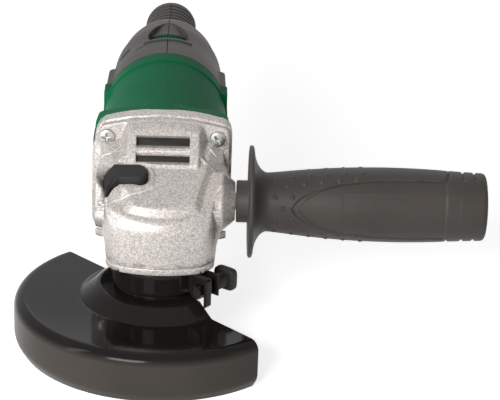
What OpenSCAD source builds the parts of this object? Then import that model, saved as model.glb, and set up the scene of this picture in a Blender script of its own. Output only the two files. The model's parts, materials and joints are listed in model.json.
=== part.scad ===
// Angle grinder for 125 mm wheels, with a slide switch, a side handle and a half guard.
// Origin: spindle axis at the wheel seat. +Z up the spindle, +Y to the rear, +X to the side handle.
// Threads are plain cylinders. Lengths are in millimetres, angles in degrees.

/* [Wheel and guard] */
// Largest wheel diameter
wheel_d = 125; // [115:5:125]
// Bore of the wheels that the flange centres
wheel_bore_d = 22.2; // [20:0.1:22.4]
// Gap between the wheel's rim and the guard's outer face
guard_margin = 5.5; // [4:0.5:9]
// Guard sheet thickness
guard_wall = 1.8; // [1.2:0.1:2.4]
// Height of the guard's flat plate above the wheel seat
guard_plate_z = 9; // [8:0.5:11]
// Depth of the guard's skirt below its flat plate
guard_depth = 24; // [18:1:30]
// Radius between the plate and the skirt
guard_corner_r = 3; // [2:0.5:6]
// Radius that turns the skirt's lower edge inwards
guard_hem_r = 7; // [5:0.5:9]
// Raised hat of the guard: height over the plate
hat_h = 6; // [4:0.5:7]
// Raised hat of the guard: radius at its foot
hat_r = 38.5; // [34:0.5:44]
// Direction that the open side of the guard faces
guard_open_dir = 43.6; // [20:0.2:70]
// Wall of the clamp band
band_wall = 1.7; // [1.2:0.1:2.2]
// Height of the clamp band
band_h = 11; // [8:0.5:12]
// Direction of the clamp ears
ear_dir = -38; // [-50:1:-20]

/* [Spindle] */
// Diameter of the spindle's thread
spindle_thread_d = 14; // [10:1:14]
// Length of thread below the wheel seat
thread_len = 14; // [12:1:18]
// Outer diameter of the wheel flange and the lock nut
flange_d = 41; // [36:1:44]
// Thickness of the wheel flange
flange_t = 5; // [4:0.5:6]
// Height of the flange's wheel pilot
pilot_h = 1.8; // [1.2:0.1:2]
// Thickness of the lock nut
nut_t = 8; // [6:0.5:9]
// Distance between the two spanner holes of the lock nut
spanner_pitch = 30; // [26:1:32]
// Diameter of the spanner holes
spanner_hole_d = 5; // [4:0.5:6]

/* [Gears] */
// Teeth on the bevel gear
gear_teeth = 37; // [35:1:37]
// Teeth on the pinion
pinion_teeth = 11; // [10:1:12]
// Gear module at the large end
gear_module = 0.92; // [0.88:0.01:0.93]
// Face width of the teeth
face_w = 5.5; // [5:0.25:5.75]

/* [Gear head] */
// Height of the motor axis above the wheel seat
axis_z = 58; // [57:0.5:62]
// Half width of the head at its widest
head_half_w = 31; // [29:0.5:33]
// Front face, in front of the spindle axis
head_front = 23; // [22.5:0.5:26]
// Joint between head and motor housing, behind the spindle axis
head_rear = 33; // [32.5:0.5:38]
// Bottom of the head, where the bearing cover sits
head_bottom_z = 32; // [31.5:0.5:34]
// How far the head's square rear flange reaches past the barrel at the sides
flange_over_w = 2; // [1:0.25:4]
// How far the head's square rear flange reaches past the barrel above and below
flange_over_h = 0.5; // [0.25:0.25:3]
// Thickness of the bearing cover's plate
cover_t = 3.5; // [3:0.25:5]
// Outer radius of the cover's neck
neck_r = 18.2; // [17.8:0.1:19]
// Length of the cover's neck below its plate
neck_len = 14; // [13:0.5:14.5]
// Width of the raised vent frame
vent_frame_w = 36.5; // [32:0.5:38]
// Width of the vent slots
vent_slot_w = 26; // [18:1:28]
// Side handle boss: radius
boss_r = 12; // [10:0.5:13]
// Side handle boss: outer face from the spindle axis
boss_x = 35; // [34:0.5:38]
// Spare boss on the left: outer face from the spindle axis
left_boss_x = 31.5; // [31:0.5:36]
// Side handle axis behind the spindle axis
handle_y = 2; // [0:0.5:4]
// Side handle axis above the wheel seat
handle_z = 56; // [54:0.5:58]
// Travel of the spindle lock button
lock_travel = 3; // [2:0.25:3.5]

/* [Motor] */
// Outer radius of the motor housing's barrel
barrel_r = 31; // [30:0.5:32]
// Length of the motor housing behind the stator
barrel_over = 12; // [11:0.5:16]
// Wall of the plastic housings
shell_wall = 2.5; // [2:0.1:2.8]
// Gap between the housing's wall and the stator
stator_gap = 1.5; // [1:0.25:3]
// Length of the stator and armature cores
core_len = 50; // [40:1:52]
// Radial depth of the stator, from its outside to its bore
field_depth = 11; // [10:0.25:12]
// Number of armature slots
armature_slots = 12; // [10:1:14]
// Commutator radius
commutator_r = 11; // [10:0.5:12]
// Number of commutator bars
commutator_bars = 24; // [20:2:28]
// Number of fan blades
fan_blades = 13; // [9:1:17]
// Half height of the side rails
rail_half_h = 14; // [12:0.5:16]
// How far the side rails stand out from the barrel
rail_rise = 1.5; // [1:0.25:3]
// Travel of the slide switch
switch_travel = 7; // [5:0.5:8]

/* [Rear handle] */
// Length of the rear handle
grip_len = 138; // [134:1:150]
// How much slimmer the handle gets behind the barrel
bulge_step = 2; // [1:0.25:3]
// Radius of the ribbed tail
tail_r = 14.2; // [13.5:0.1:16]
// Length of the ribbed tail
tail_len = 35; // [30:1:38]
// Number of grooves round the tail
tail_grooves = 5; // [3:1:6]
// Width of the window in the top
window_w = 20; // [16:1:22]
// Length of the window in the top
window_len = 30; // [24:1:32]
// Upward tilt of the rear handle
grip_tilt = 0.8; // [0:0.1:1.2]
// Cable diameter that the gland takes
cable_d = 7.2; // [6:0.1:8]

/* [Side handle] */
// Length of the side handle from the head
side_len = 116; // [100:1:130]
// Radius of the hand guard at its inner end
side_flange_r = 26.2; // [23:0.2:28]
// Largest radius of the grip
side_grip_r = 17.4; // [15:0.1:19]
// Radius of the spigot that meets the head
side_spigot_r = 9.85; // [8.5:0.05:11]
// Diameter of the stud's thread
stud_d = 8; // [7:1:10]
// Length of the stud inside the head's boss
stud_reach = 11; // [9:0.5:12]

/* [Clearances] */
// Radial clearance of a part that turns or slides in another
slip = 0.06; // [0.03:0.01:0.1]
// Gap between parts that are seated and don't move
seat = 0.05; // [0.02:0.01:0.1]
// Air gap between moving surfaces
air = 0.8; // [0.6:0.1:1]

/* [Hidden] */
$fn = 96;
E = 0.01;

// Bearings: [bore radius, outer radius, width, ball radius, number of balls]
SPINDLE_BEARING = [6, 16, 10, 3, 8];
FRONT_BEARING = [5, 13, 8, 2.4, 8];
REAR_BEARING = [3.5, 9.5, 6, 1.9, 7];

// Heights along the spindle
thread_r = spindle_thread_d / 2;
flange_r = flange_d / 2;
cover_z = head_bottom_z - cover_t;
neck_z = cover_z - neck_len;
sbearing_z = neck_z + 4.5;
sbearing_top = sbearing_z + SPINDLE_BEARING[2];
collar_r = thread_r + 1.5;
seal_r = collar_r + 2.5;
seal_t = 2.4;
seal_z = neck_z + 1.8;
retainer_t = 2;
retainer_r = SPINDLE_BEARING[1] + 1;

// Bevel gears: both pitch cones meet where the two axes cross
gear_pitch_r = gear_teeth * gear_module / 2;
pinion_pitch_r = pinion_teeth * gear_module / 2;
cone_len = sqrt(pow(gear_pitch_r, 2) + pow(pinion_pitch_r, 2));
toe_scale = (cone_len - face_w) / cone_len;
pinion_angle = atan(pinion_pitch_r / gear_pitch_r);
pressure_angle = 20;
gear_add = 0.65 * gear_module;
pinion_add = 1.0 * gear_module;
tooth_root = 1.25 * gear_module;
backlash = 0.16 * gear_module;
gear_pitch_z = axis_z - pinion_pitch_r;
gear_toe_r = gear_pitch_r * toe_scale;
gear_web_z = gear_pitch_z - 1.6;
gear_back_z = gear_pitch_z - 8;
gear_hub_r = 8.5;
gear_rim_r = gear_pitch_r + 0.4;
gear_seat_top = gear_web_z + 0.5;
spindle_r = SPINDLE_BEARING[0] - seat;
spindle_tip_r = 4;
needle_r = 6;
needle_z = gear_web_z + 1;
needle_len = 6.5;
key_w = 3;
key_len = 6;
lock_hole_r = 2.15;
lock_pin_r = 1.7;
lock_x = -9.4;
lock_holes = 7;

// Radii round the motor axis
flange_half_w = barrel_r + flange_over_w;
flange_half_h = barrel_r + flange_over_h;
stator_r = barrel_r - shell_wall - stator_gap;
armature_r = stator_r - field_depth - air;
slot_depth = 4.4;
slot_r = armature_r - slot_depth - 1.8;
rail_x = barrel_r + rail_rise;
bulge_r = barrel_r - bulge_step;

// Places along the motor axis
pinion_toe_y = gear_pitch_r * toe_scale;
pinion_nut_t = 2.6;
pinion_nut_r = 4;
pinion_collar = 0.7;
shaft_tip_r = 2.2;
shaft_start = pinion_toe_y - pinion_collar - pinion_nut_t - seat;
fbearing_y = head_rear - 9;
fbearing_end = fbearing_y + FRONT_BEARING[2];
fan_y = head_rear + 3;
fan_len = 12;
fan_r = stator_r - 1;
baffle_y = fan_y + fan_len + air;
baffle_t = 1.4;
core_y = head_rear + 22;
core_end = core_y + core_len;
overhang = 5;
commutator_y = core_end + overhang + 1;
commutator_len = 16;
brush_y = commutator_y + 8;
barrel_end = core_end + barrel_over;
rbearing_y = commutator_y + commutator_len + 2;
rbearing_end = rbearing_y + REAR_BEARING[2];
boot_wall = 1.5;
cage_r = barrel_r - 2 * shell_wall + 0.5;
cage_wall = 2;
cage_end = rbearing_end + 3;
lip_len = 9;
rail_y = head_rear + lip_len - 4;
rail_end = barrel_end - 19;
rail_top = axis_z + 2;
wing_y = barrel_end - 13;
wing_x = barrel_r + 0.25;
crown_r = 112;

// Rear handle
grip_end = barrel_end + grip_len;
tail_y = grip_end - tail_len;
window_y = cage_end + 12;
taper_y = window_y + window_len - 14;
tail_wall = 4;
taper_power = 1.8;

// Gear head
cavity_r = gear_rim_r + 1;
cavity_shoulder = gear_pitch_z + 1;
cavity_top = gear_pitch_z + 2.8;
slope_low = [8, 70.2];
slope_high = [24, 87];
slope_angle = atan((slope_high[1] - slope_low[1]) / (slope_high[0] - slope_low[0]));
slope_len = norm(slope_high - slope_low);
housing_screw_x = flange_half_w - 7;
housing_screw_dz = flange_half_h - 11;
housing_screw_y = head_rear - 9;
housing_screw_len = 26;
cover_screw_x = 18.9;
cover_screw_y = 16;
cover_rear = 24;
head_screw_r = 2;
button_floor_z = 59.6;
button_under_z = button_floor_z + lock_travel;

// Guard
guard_r = wheel_d / 2 + guard_margin;
guard_neck_in = neck_r + slip;
guard_neck_wall = 1.7;
guard_neck_out = guard_neck_in + guard_neck_wall;
ledge_z = guard_plate_z + hat_h;
ledge_r = hat_r - 10;
band_in = guard_neck_out + 0.1;
band_out = band_in + band_wall;
band_z = cover_z - 0.9 - band_h;
ear_len = 11.2;
ear_t = 2;
ear_gap = 3;
tab_t = 1.5;
tab_drop = 3;
stud_r_clamp = 2.5;
clamp_r = band_out + 6.2;
clamp_z = band_z + 3.6;
knob_offset = 13;
lug_z = neck_z + 0.7;
lug_h = 1;
lug_depth = 1.2;

// Side handle
stud_r = stud_d / 2;
boss_hole_r = stud_r;
boss_hole_x = boss_x - stud_reach - 1.5;
side_x = boss_x + 0.3;
side_rim_x = side_x + 6;
side_end = boss_x + side_len;

// Brushes and their boxes
brush_t = 6;
brush_w = 9;
brush_tip = commutator_r + 0.15;
brush_travel = 2;
brush_box_end = sqrt(pow(cage_r - cage_wall, 2) - pow(brush_t / 2 + 0.9, 2)) - 0.2;
brush_cap_x = brush_box_end - 0.8;
brush_spring_len = 3.2;
brush_back = brush_cap_x - brush_spring_len;

// Screw posts across the two halves: [y, z]
GRIP_SCREWS = [
    [cage_end + 10, axis_z - 18.5], [cage_end + 10, axis_z + 18.5],
    [tail_y - 17, axis_z - 11], [tail_y - 17, axis_z + 13]
];
screw_post_r = 3.6;
screw_post_x = 7;
clamp_y = grip_end - 20;
clamp_dz = 5.6;
clamp_screw_r = 1.2;
clamp_bar_t = 2.4;
clamp_bar_x = 4.5;
saddle_x = 3.7;
tail_lift = (grip_end - 20 - barrel_end) * sin(grip_tilt);
tail_axis_z = axis_z + tail_lift;
grip_screw_r = 1.5;

// Switch, capacitor and the rod between knob and switch
switch_y = window_y + 12;
switch_len = 32;
switch_hw = 9;
cap_y = switch_y + switch_len + 5;
cap_len = 17;
cap_hw = 6;
link_half_h = 2.5;
link_t = 1.4;
link_x = barrel_r - 2;
link_in = cage_r - cage_wall / 2;
link_hook_x = switch_hw + 3;

GREEN = [0.04, 0.36, 0.18];
GREY = [0.23, 0.21, 0.20];
STEEL = [0.72, 0.72, 0.74];
CAST = [0.70, 0.69, 0.68];
BLACK = [0.07, 0.07, 0.07];
COPPER = [0.72, 0.38, 0.18];
BRASS = [0.80, 0.66, 0.30];

// ---------- shared shapes ----------

// Stands a child that was drawn along +Z on the motor axis, with z = 0 at y
module on_motor_axis(y = 0) translate([0, y, axis_z]) rotate([-90, 0, 0]) children();

// Stands a child that was drawn along +Z on the side handle's axis, with z = 0 at x
module on_side_axis(x = 0) translate([x, handle_y, handle_z]) rotate([0, 90, 0]) children();

// Stands a child that was drawn along +Z on the clamp screw's axis
module on_clamp_axis(offset = 0)
    rotate([0, 0, ear_dir]) translate([clamp_r, offset, clamp_z]) rotate([-90, 0, 0]) children();

module tube(outer, inner, h) {
    difference() {
        cylinder(r = outer, h = h);
        translate([0, 0, -1]) cylinder(r = inner, h = h + 2);
    }
}

function arc(cx, cy, r, a0, a1, n = 6) =
    [for (i = [0:n]) [cx + r * cos(a0 + (a1 - a0) * i / n), cy + r * sin(a0 + (a1 - a0) * i / n)]];

function rounded_outline(hw, hh, r) = concat(
    arc(hw - r, hh - r, r, 0, 90), arc(r - hw, hh - r, r, 90, 180),
    arc(r - hw, r - hh, r, 180, 270), arc(hw - r, r - hh, r, 270, 360));

// Cross-head screw along +Z: its seat is at z = 0 and its shank points up
module screw(head_r, head_h, shank_r, len) {
    difference() {
        union() {
            translate([0, 0, -head_h]) cylinder(r1 = head_r - 0.7, r2 = head_r, h = 0.7);
            translate([0, 0, 0.7 - head_h]) cylinder(r = head_r, h = head_h - 0.7);
            cylinder(r = shank_r, h = len);
        }
        for (a = [0, 90])
            rotate([0, 0, a]) translate([-head_r * 0.62, -0.45, -head_h - 1])
                cube([head_r * 1.24, 0.9, 2.1]);
    }
}

function ball_track(b) = (b[0] + b[1]) / 2;

// Outer ring of a ball bearing along +Z, with its ball groove
module outer_race(b) {
    difference() {
        tube(b[1], ball_track(b) + b[3] * 0.45, b[2]);
        race_groove(b);
    }
}

module inner_race(b) {
    difference() {
        tube(ball_track(b) - b[3] * 0.45, b[0], b[2]);
        race_groove(b);
    }
}

module race_groove(b) translate([0, 0, b[2] / 2]) rotate_extrude() translate([ball_track(b), 0])
    circle(r = b[3] + slip);

// Balls and the crown cage that spaces them: a ring above the balls with prongs between them
module ball_set(b) {
    mid = b[2] / 2;
    crown = b[3] + (mid - b[3]) * 0.6;
    for (i = [0:b[4] - 1])
        rotate([0, 0, i * 360 / b[4]]) translate([ball_track(b), 0, mid]) sphere(r = b[3], $fn = 48);
    difference() {
        translate([0, 0, mid - b[3] * 0.5])
            tube(ball_track(b) + b[3] * 0.3, ball_track(b) - b[3] * 0.3, crown + b[3] * 0.5);
        for (i = [0:b[4] - 1])
            rotate([0, 0, i * 360 / b[4]]) translate([ball_track(b), 0, mid])
                sphere(r = b[3] + slip, $fn = 48);
    }
}

// Coil spring along +Z as one swept wire, with flat-lying ends
function coil_point(r, h, turns, t) = [r * cos(360 * turns * t), r * sin(360 * turns * t), h * t];

module coil(r, wire, h, turns) {
    rings = ceil(turns * 14);
    sides = 6;
    centre = [for (i = [0:rings]) coil_point(r, h - 2 * wire, turns, i / rings) + [0, 0, wire]];
    points = [for (i = [0:rings]) for (j = [0:sides - 1])
        let (a = 360 * turns * i / rings, c = 360 * j / sides)
        centre[i] + wire * [cos(c) * cos(a), cos(c) * sin(a), sin(c)]];
    walls = [for (i = [0:rings - 1]) for (j = [0:sides - 1])
        let (k = (j + 1) % sides)
        [i * sides + k, (i + 1) * sides + k, (i + 1) * sides + j, i * sides + j]];
    first = [for (j = [sides - 1:-1:0]) j];
    last = [for (j = [0:sides - 1]) rings * sides + j];
    polyhedron(points, concat(walls, [first, last]), convexity = 10);
}

// ---------- gear head ----------

// Outline from the side, (y, z): front face, step, sloping panel, vent face, rear flange
module head_side() {
    polygon([
        [-head_front, head_bottom_z], [-head_front, 49.5], [1.6 - head_front, 52.4],
        [3 - head_front, 54.6], [5 - head_front, 55.2], [8 - head_front, 59.5],
        slope_low, slope_high, [26.5, axis_z + flange_half_h], [head_rear, axis_z + flange_half_h],
        [head_rear, axis_z - flange_half_h], [cover_rear + 4, axis_z - flange_half_h],
        [cover_rear, head_bottom_z]
    ]);
}

// Outline from above, (x, y): a shallow curved front between rounded corners
module head_plan(grow = 0) {
    w = head_half_w + grow;
    polygon(concat(
        [[-flange_half_w - 6, head_rear], [-w, head_rear - 9], [-w, 2]],
        arc(14 - w, 4 - head_front + 12, 14, 190, 236, 5),
        arc(0, 52 - head_front, 52, 254, 286, 8),
        arc(w - 14, 4 - head_front + 12, 14, -56, -10, 5),
        [[w, 2], [w, head_rear - 9], [flange_half_w + 6, head_rear]]));
}

// Outline from the front, (x, z)
module head_front_view() {
    polygon([
        [6.2 - head_half_w, head_bottom_z - 8], [4.6 - head_half_w, 38], [1.5 - head_half_w, 49],
            [-head_half_w, axis_z],
        [-head_half_w, 68], [-22, 74], [-19, 92], [19, 92], [22, 74], [head_half_w, 68],
            [head_half_w, axis_z],
        [head_half_w - 1.5, 49], [head_half_w - 4.6, 38], [head_half_w - 6.2, head_bottom_z - 8]
    ]);
}

module head_outline_flange(len, shrink = 0) {
    on_motor_axis(0) linear_extrude(len) intersection() {
        polygon(rounded_outline(flange_half_w - shrink, flange_half_h - shrink, 11 - shrink));
        translate([0, crown_r - flange_half_h]) circle(r = crown_r - shrink);
    }
}

// The head's outer body before its pockets and bores
module head_body() {
    intersection() {
        rotate([90, 0, 90]) translate([0, 0, -40]) linear_extrude(80) head_side();
        linear_extrude(100) head_plan();
        translate([0, head_rear, 0]) rotate([90, 0, 0]) linear_extrude(80) intersection() {
            head_front_view();
            translate([0, axis_z + flange_half_h - crown_r]) circle(r = crown_r);
        }
    }
    translate([0, housing_screw_y, 0]) head_outline_flange(head_rear - housing_screw_y);
    intersection() {
        union() {
            on_side_axis(boss_x - 12) cylinder(r = boss_r, h = 12);
            on_side_axis(-left_boss_x) cylinder(r = boss_r, h = 12);
        }
        translate([-50, -30, 0]) cube([100, 50, 100]);
    }
}

// Raised frame on the vent face
module vent_frame() {
    translate([-vent_frame_w / 2, slope_low[0], slope_low[1]]) rotate([slope_angle, 0, 0])
        translate([0, -1, -8]) cube([vent_frame_w, slope_len, 9.5]);
}

module vent_slots() {
    for (slot = [[0.39, 0.22], [0.08, 0.155]])
        translate([-vent_slot_w / 2, slope_low[0], slope_low[1]]) rotate([slope_angle, 0, 0])
            translate([0, slope_len * slot[0], -12]) cube([vent_slot_w, slope_len * slot[1], 24]);
}

// Raised panel in the middle of the upper front, with a step round it
module head_panel() {
    intersection() {
        linear_extrude(100) polygon([[-14, -16], [17.5, -16.5], [21.5, slope_low[0] + 1],
            [-8, slope_low[0] + 1], [-8, -8]]);
        rotate([90, 0, 90]) translate([0, 0, -25]) linear_extrude(50) polygon([
            [-16.8, 50], [-16.8, 57.2], [-15.2, 60.9], [slope_low[0], slope_low[1] + 1.4],
                [slope_low[0] + 1, 60]]);
    }
}

// Plan outline of the lock button, grown by a gap
module button_outline(grow = 0) {
    r = 5.2 + grow;
    polygon(concat(
        [[-21 - grow / 2, 8.2 + grow]],
        arc(-10.4, 3, r, 90, -90, 10),
        [[-18, -5 - grow], [-21.5, -9.2 - grow], [-24.6 - grow, -8 - grow], [-26.2 - grow, 0],
            [-25.4 - grow, 4]]));
}

module gear_cavity() {
    translate([0, 0, head_bottom_z - 1]) rotate_extrude() polygon([
        [0, 0], [cavity_r, 0], [cavity_r, cavity_shoulder - head_bottom_z + 1],
        [gear_toe_r - 1, cavity_top - head_bottom_z + 1], [0, cavity_top - head_bottom_z + 1]]);
    on_motor_axis(shaft_start - 1) cylinder(r = pinion_pitch_r + 3, h = fbearing_y - shaft_start + 2);
    on_motor_axis(fbearing_y) cylinder(r = FRONT_BEARING[1] + seat, h = 20);
}

// Air way from the fan, over the bearing, to the slots
module head_airway() {
    difference() {
        rotate([90, 0, 90]) translate([0, 0, -vent_slot_w / 2 - 1]) linear_extrude(vent_slot_w + 2)
            polygon([
            [13, 73], [head_rear + 1, 73], [head_rear + 1, 86.5], [27.5, 86.5]]);
    }
    for (s = [-1, 1]) translate([s * 21, head_rear - 8, axis_z]) rotate([-90, 0, 0])
        linear_extrude(9) polygon(rounded_outline(5.5, 9, 2));
}

module gear_housing() {
    color(CAST) difference() {
        union() {
            difference() {
                union() {
                    head_body();
                    vent_frame();
                    head_panel();
                }
                gear_cavity();
                head_airway();
                vent_slots();
                translate([0, 0, button_floor_z]) linear_extrude(40) button_outline(0.5);
                for (s = [-1, 1]) screw_pocket(s);
            }
            difference() {
                union() {
                    translate([0, 0, needle_z])
                        cylinder(r = needle_r + 1.8, h = button_floor_z - needle_z);
                    translate([lock_x, 0, cavity_top - 0.4])
                        cylinder(r = 3.4, h = button_floor_z - cavity_top + 0.4);
                }
                on_motor_axis(shaft_start - 0.4) cylinder(r = pinion_nut_r + 1, h = 4);
            }
        }
        translate([0, 0, needle_z - 1]) cylinder(r = needle_r + seat, h = needle_len + 1);
        translate([lock_x, 0, needle_z - 2]) cylinder(r = lock_pin_r + slip, h = 40);
        for (s = [-1, 1]) {
            translate([s * boss_hole_x, handle_y, handle_z]) rotate([0, 90 * s, 0])
                cylinder(r = boss_hole_r, h = 30);
            for (t = [-1, 1]) {
                translate([s * housing_screw_x, 0, axis_z + t * housing_screw_dz]) rotate([-90, 0, 0])
                    cylinder(r = head_screw_r + 0.2, h = 60);
                translate([s * cover_screw_x, t * cover_screw_y, head_bottom_z - 1])
                    cylinder(r = 1.75 + seat, h = 11);
            }
        }
        translate([0, 0, cover_z]) cylinder(r = cavity_r, h = head_bottom_z - cover_z + E);
    }
}

// Open-fronted corner pockets that the housing screws sit in
module screw_pocket(s) {
    x = s > 0 ? vent_frame_w / 2 + 1 : -vent_frame_w / 2 - 31;
    pad_x = housing_screw_x - 5.5;
    translate([x, -40, axis_z + housing_screw_dz - 7.5]) cube([30, 40 + housing_screw_y, 40]);
    translate([s > 0 ? pad_x : -pad_x - 30, -40, 0])
        cube([30, 40 + housing_screw_y, axis_z - housing_screw_dz + 4.8]);
}

module cover_outline(grow = 0) {
    intersection() {
        head_plan(grow);
        square([2 * (head_half_w - 5.5), 2 * cover_rear], center = true);
    }
}

module gear_cover() {
    color(CAST) difference() {
        union() {
            translate([0, 0, cover_z]) linear_extrude(cover_t - 0.4) cover_outline();
            translate([0, 0, neck_z]) cylinder(r = neck_r, h = neck_len + 1);
            translate([0, 0, head_bottom_z - 1]) cylinder(r = cavity_r - seat, h = 3);
        }
        translate([0, 0, sbearing_z]) cylinder(r = SPINDLE_BEARING[1] + seat, h = 40);
        translate([0, 0, sbearing_top]) cylinder(r = retainer_r + seat, h = 40);
        translate([0, 0, neck_z - 1]) cylinder(r = collar_r + 0.6, h = 20);
        translate([0, 0, seal_z]) cylinder(r = seal_r + seat, h = seal_t);
        guard_groove();
        for (s = [-1, 1], t = [-1, 1]) translate([s * cover_screw_x, t * cover_screw_y, 0]) {
            cylinder(r = 1.75 + seat, h = 60);
            translate([0, 0, cover_z - 1]) cylinder(r = 3.8, h = 3.1);
        }
    }
}

// Groove round the neck for the guard's lugs, with three ways in from below
module guard_groove() {
    translate([0, 0, lug_z - 0.2]) tube(neck_r + 2, neck_r - lug_depth - 0.3, lug_h + 0.4);
    for (a = [60, 180, 300]) intersection() {
        translate([0, 0, neck_z - 1]) tube(neck_r + 2, neck_r - lug_depth - 0.3, lug_z - neck_z + 1.5);
        rotate([0, 0, a]) translate([0, -4.5, 0]) cube([30, 9, 30]);
    }
}

module cover_gasket() {
    color(BLACK) translate([0, 0, head_bottom_z - 0.4 + seat]) linear_extrude(0.4 - 2 * seat)
        difference() {
        cover_outline();
        circle(r = cavity_r);
        for (s = [-1, 1], t = [-1, 1]) translate([s * cover_screw_x, t * cover_screw_y]) circle(r = 2);
    }
}

module cover_screws() {
    color(STEEL) for (s = [-1, 1], t = [-1, 1])
        translate([s * cover_screw_x, t * cover_screw_y, cover_z + 2.1 - seat]) screw(3.4, 2, 1.75, 11);
}

module housing_screws() {
    color(STEEL) for (s = [-1, 1], t = [-1, 1])
        translate([s * housing_screw_x, housing_screw_y - seat, axis_z + t * housing_screw_dz])
            rotate([-90, 0, 0]) screw(4, 2.6, head_screw_r, housing_screw_len);
}

module bearing_retainer() {
    color(STEEL) translate([0, 0, sbearing_top + seat])
        tube(retainer_r, SPINDLE_BEARING[1] - 2.5, retainer_t);
}

module dust_seal() {
    color([0.5, 0.48, 0.42]) translate([0, 0, seal_z + seat])
        tube(seal_r, collar_r + slip, seal_t - 2 * seat);
}

module needle_bearing() {
    color(STEEL) translate([0, 0, needle_z]) {
        tube(needle_r, needle_r - 0.7, needle_len - 0.1);
        for (i = [0:11]) rotate([0, 0, i * 30])
            translate([(needle_r - 0.7 + spindle_tip_r) / 2, 0, 0.5])
                cylinder(r = 0.58, h = needle_len - 1.2, $fn = 24);
    }
}

// ---------- spindle lock ----------

module lock_button() {
    color(BLACK) difference() {
        intersection() {
            translate([0, 0, button_under_z]) linear_extrude(20) button_outline();
            rotate([90, 0, 90]) translate([0, 0, -40]) linear_extrude(80) polygon([
                [-12, 50], [-12, 63.6], [-8, 65.6], [8.5, 72.2], [10, 72.2], [10, 50]]);
            translate([0, 20, 0]) rotate([90, 0, 0]) linear_extrude(40) polygon([
                [-27, 50], [-27, 64.2], [-20.5, 73], [0, 73], [0, 50]]);
        }
        translate([lock_x, 0, button_under_z - 1]) cylinder(r = 1.3, h = 3);
    }
}

module lock_pin() {
    color(STEEL) {
        translate([lock_x, 0, gear_web_z + 0.6])
            cylinder(r = lock_pin_r, h = button_under_z - seat - gear_web_z - 0.6);
        translate([lock_x, 0, button_under_z - seat - E]) cylinder(r = 1.25, h = 1.9);
    }
}

module lock_spring() {
    color(STEEL) translate([lock_x, 0, button_floor_z + seat])
        coil(2.2, 0.3, lock_travel - 2 * seat, 3);
}

// ---------- motor housing ----------

module barrel_profile() {
    polygon([
        [barrel_r - shell_wall, head_rear], [barrel_r - 0.4, head_rear],
            [barrel_r, head_rear + lip_len + 3],
        [barrel_r, barrel_end], [barrel_r - shell_wall, barrel_end]
    ]);
}

module motor_housing() {
    color(GREEN) difference() {
        union() {
            on_motor_axis() rotate_extrude() barrel_profile();
            front_lip();
            for (s = [-1, 1]) side_rail(s);
            stator_ribs();
            rear_cage();
            on_motor_axis(barrel_end - 12) rotate_extrude() polygon([
                [barrel_r - 1, -1.4], [barrel_r + 0.5, -0.6], [barrel_r + 0.5, 0.6],
                    [barrel_r - 1, 1.4]]);
        }
        for (s = [-1, 1], t = [-1, 1])
            translate([s * housing_screw_x, head_rear - 1, axis_z + t * housing_screw_dz])
                rotate([-90, 0, 0])
                cylinder(r = head_screw_r + seat, h = 20);
        link_slot();
    }
}

// Square lip that matches the head's flange, with the screw bosses behind it
module front_lip() {
    difference() {
        union() {
            translate([0, head_rear, 0]) head_outline_flange(lip_len);
            intersection() {
                for (s = [-1, 1], t = [-1, 1])
                    translate([s * housing_screw_x, head_rear, axis_z + t * housing_screw_dz])
                        rotate([-90, 0, 0])
                        cylinder(r = 4.5, h = 19);
                translate([0, head_rear, 0]) head_outline_flange(30);
            }
        }
        on_motor_axis(head_rear - 1) cylinder(r = barrel_r - shell_wall, h = 40);
    }
}

// Low rail along each flank, and a square shoulder behind it
module side_rail(s) {
    difference() {
        union() {
            translate([s > 0 ? 0 : -rail_x, rail_y - 2, axis_z - rail_half_h])
                cube([rail_x, rail_end - rail_y + 2, rail_half_h + rail_top - axis_z]);
            translate([s > 0 ? 0 : -wing_x, wing_y, axis_z - rail_half_h])
                cube([wing_x, barrel_end - wing_y, 2 * rail_half_h]);
        }
        on_motor_axis(0) cylinder(r = barrel_r - shell_wall, h = barrel_end + 9);
    }
}

// Four ribs inside the barrel that the stator is pressed between
module stator_ribs() {
    for (a = [45, 135, 225, 315]) on_motor_axis(core_y) rotate([0, 0, a]) intersection() {
        tube(barrel_r - shell_wall + 0.5, stator_r + seat, core_len);
        translate([0, -3, 0]) cube([barrel_r, 6, core_len]);
    }
    on_motor_axis(baffle_y + baffle_t + seat) rotate_extrude()
        polygon([[barrel_r - shell_wall + 0.5, 0], [barrel_r - shell_wall + 0.5, 2], [fan_r, 2],
            [fan_r, 0]]);
}

// Cage behind the barrel, inside the rear handle: carries the brushes and the rear bearing
module rear_cage() {
    on_motor_axis(barrel_end - 4) difference() {
        rotate_extrude() polygon([
            [cage_r - cage_wall, 0], [barrel_r - 1, 0], [barrel_r - 1, 3.9], [cage_r, 4],
                [cage_r, cage_end - barrel_end + 4],
            [cage_r - cage_wall, cage_end - barrel_end + 4]]);
        translate([0, 0, 3.95]) tube(barrel_r + 1, cage_r, 1);
    }
    on_motor_axis(rbearing_end + seat)
        tube(cage_r - 0.5, REAR_BEARING[1] - 1, cage_end - rbearing_end - seat);
    on_motor_axis(rbearing_y)
        tube(REAR_BEARING[1] + boot_wall + seat + 2, REAR_BEARING[1] + boot_wall + seat, 8);
    intersection() {
        on_motor_axis(cage_end - 4) tube(cage_r - 0.9, cage_r - cage_wall - 0.5, 14);
        translate([1 - window_w / 2, 0, axis_z]) cube([window_w - 2, 400, 50]);
    }
    for (s = [-1, 1]) brush_tower(s);
}

// Pads that the brush holders are screwed and clipped to
module brush_tower(s) {
    pad_z = brush_t / 2 + 0.9 + seat;
    for (t = [-1, 1]) translate([s > 0 ? 15 : -cage_r + cage_wall / 2, brush_y - brush_w / 2,
        axis_z + (t > 0 ? pad_z : -pad_z - 2)])
        cube([cage_r - cage_wall / 2 - 15, brush_w, 2]);
}

// ---------- motor ----------

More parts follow.
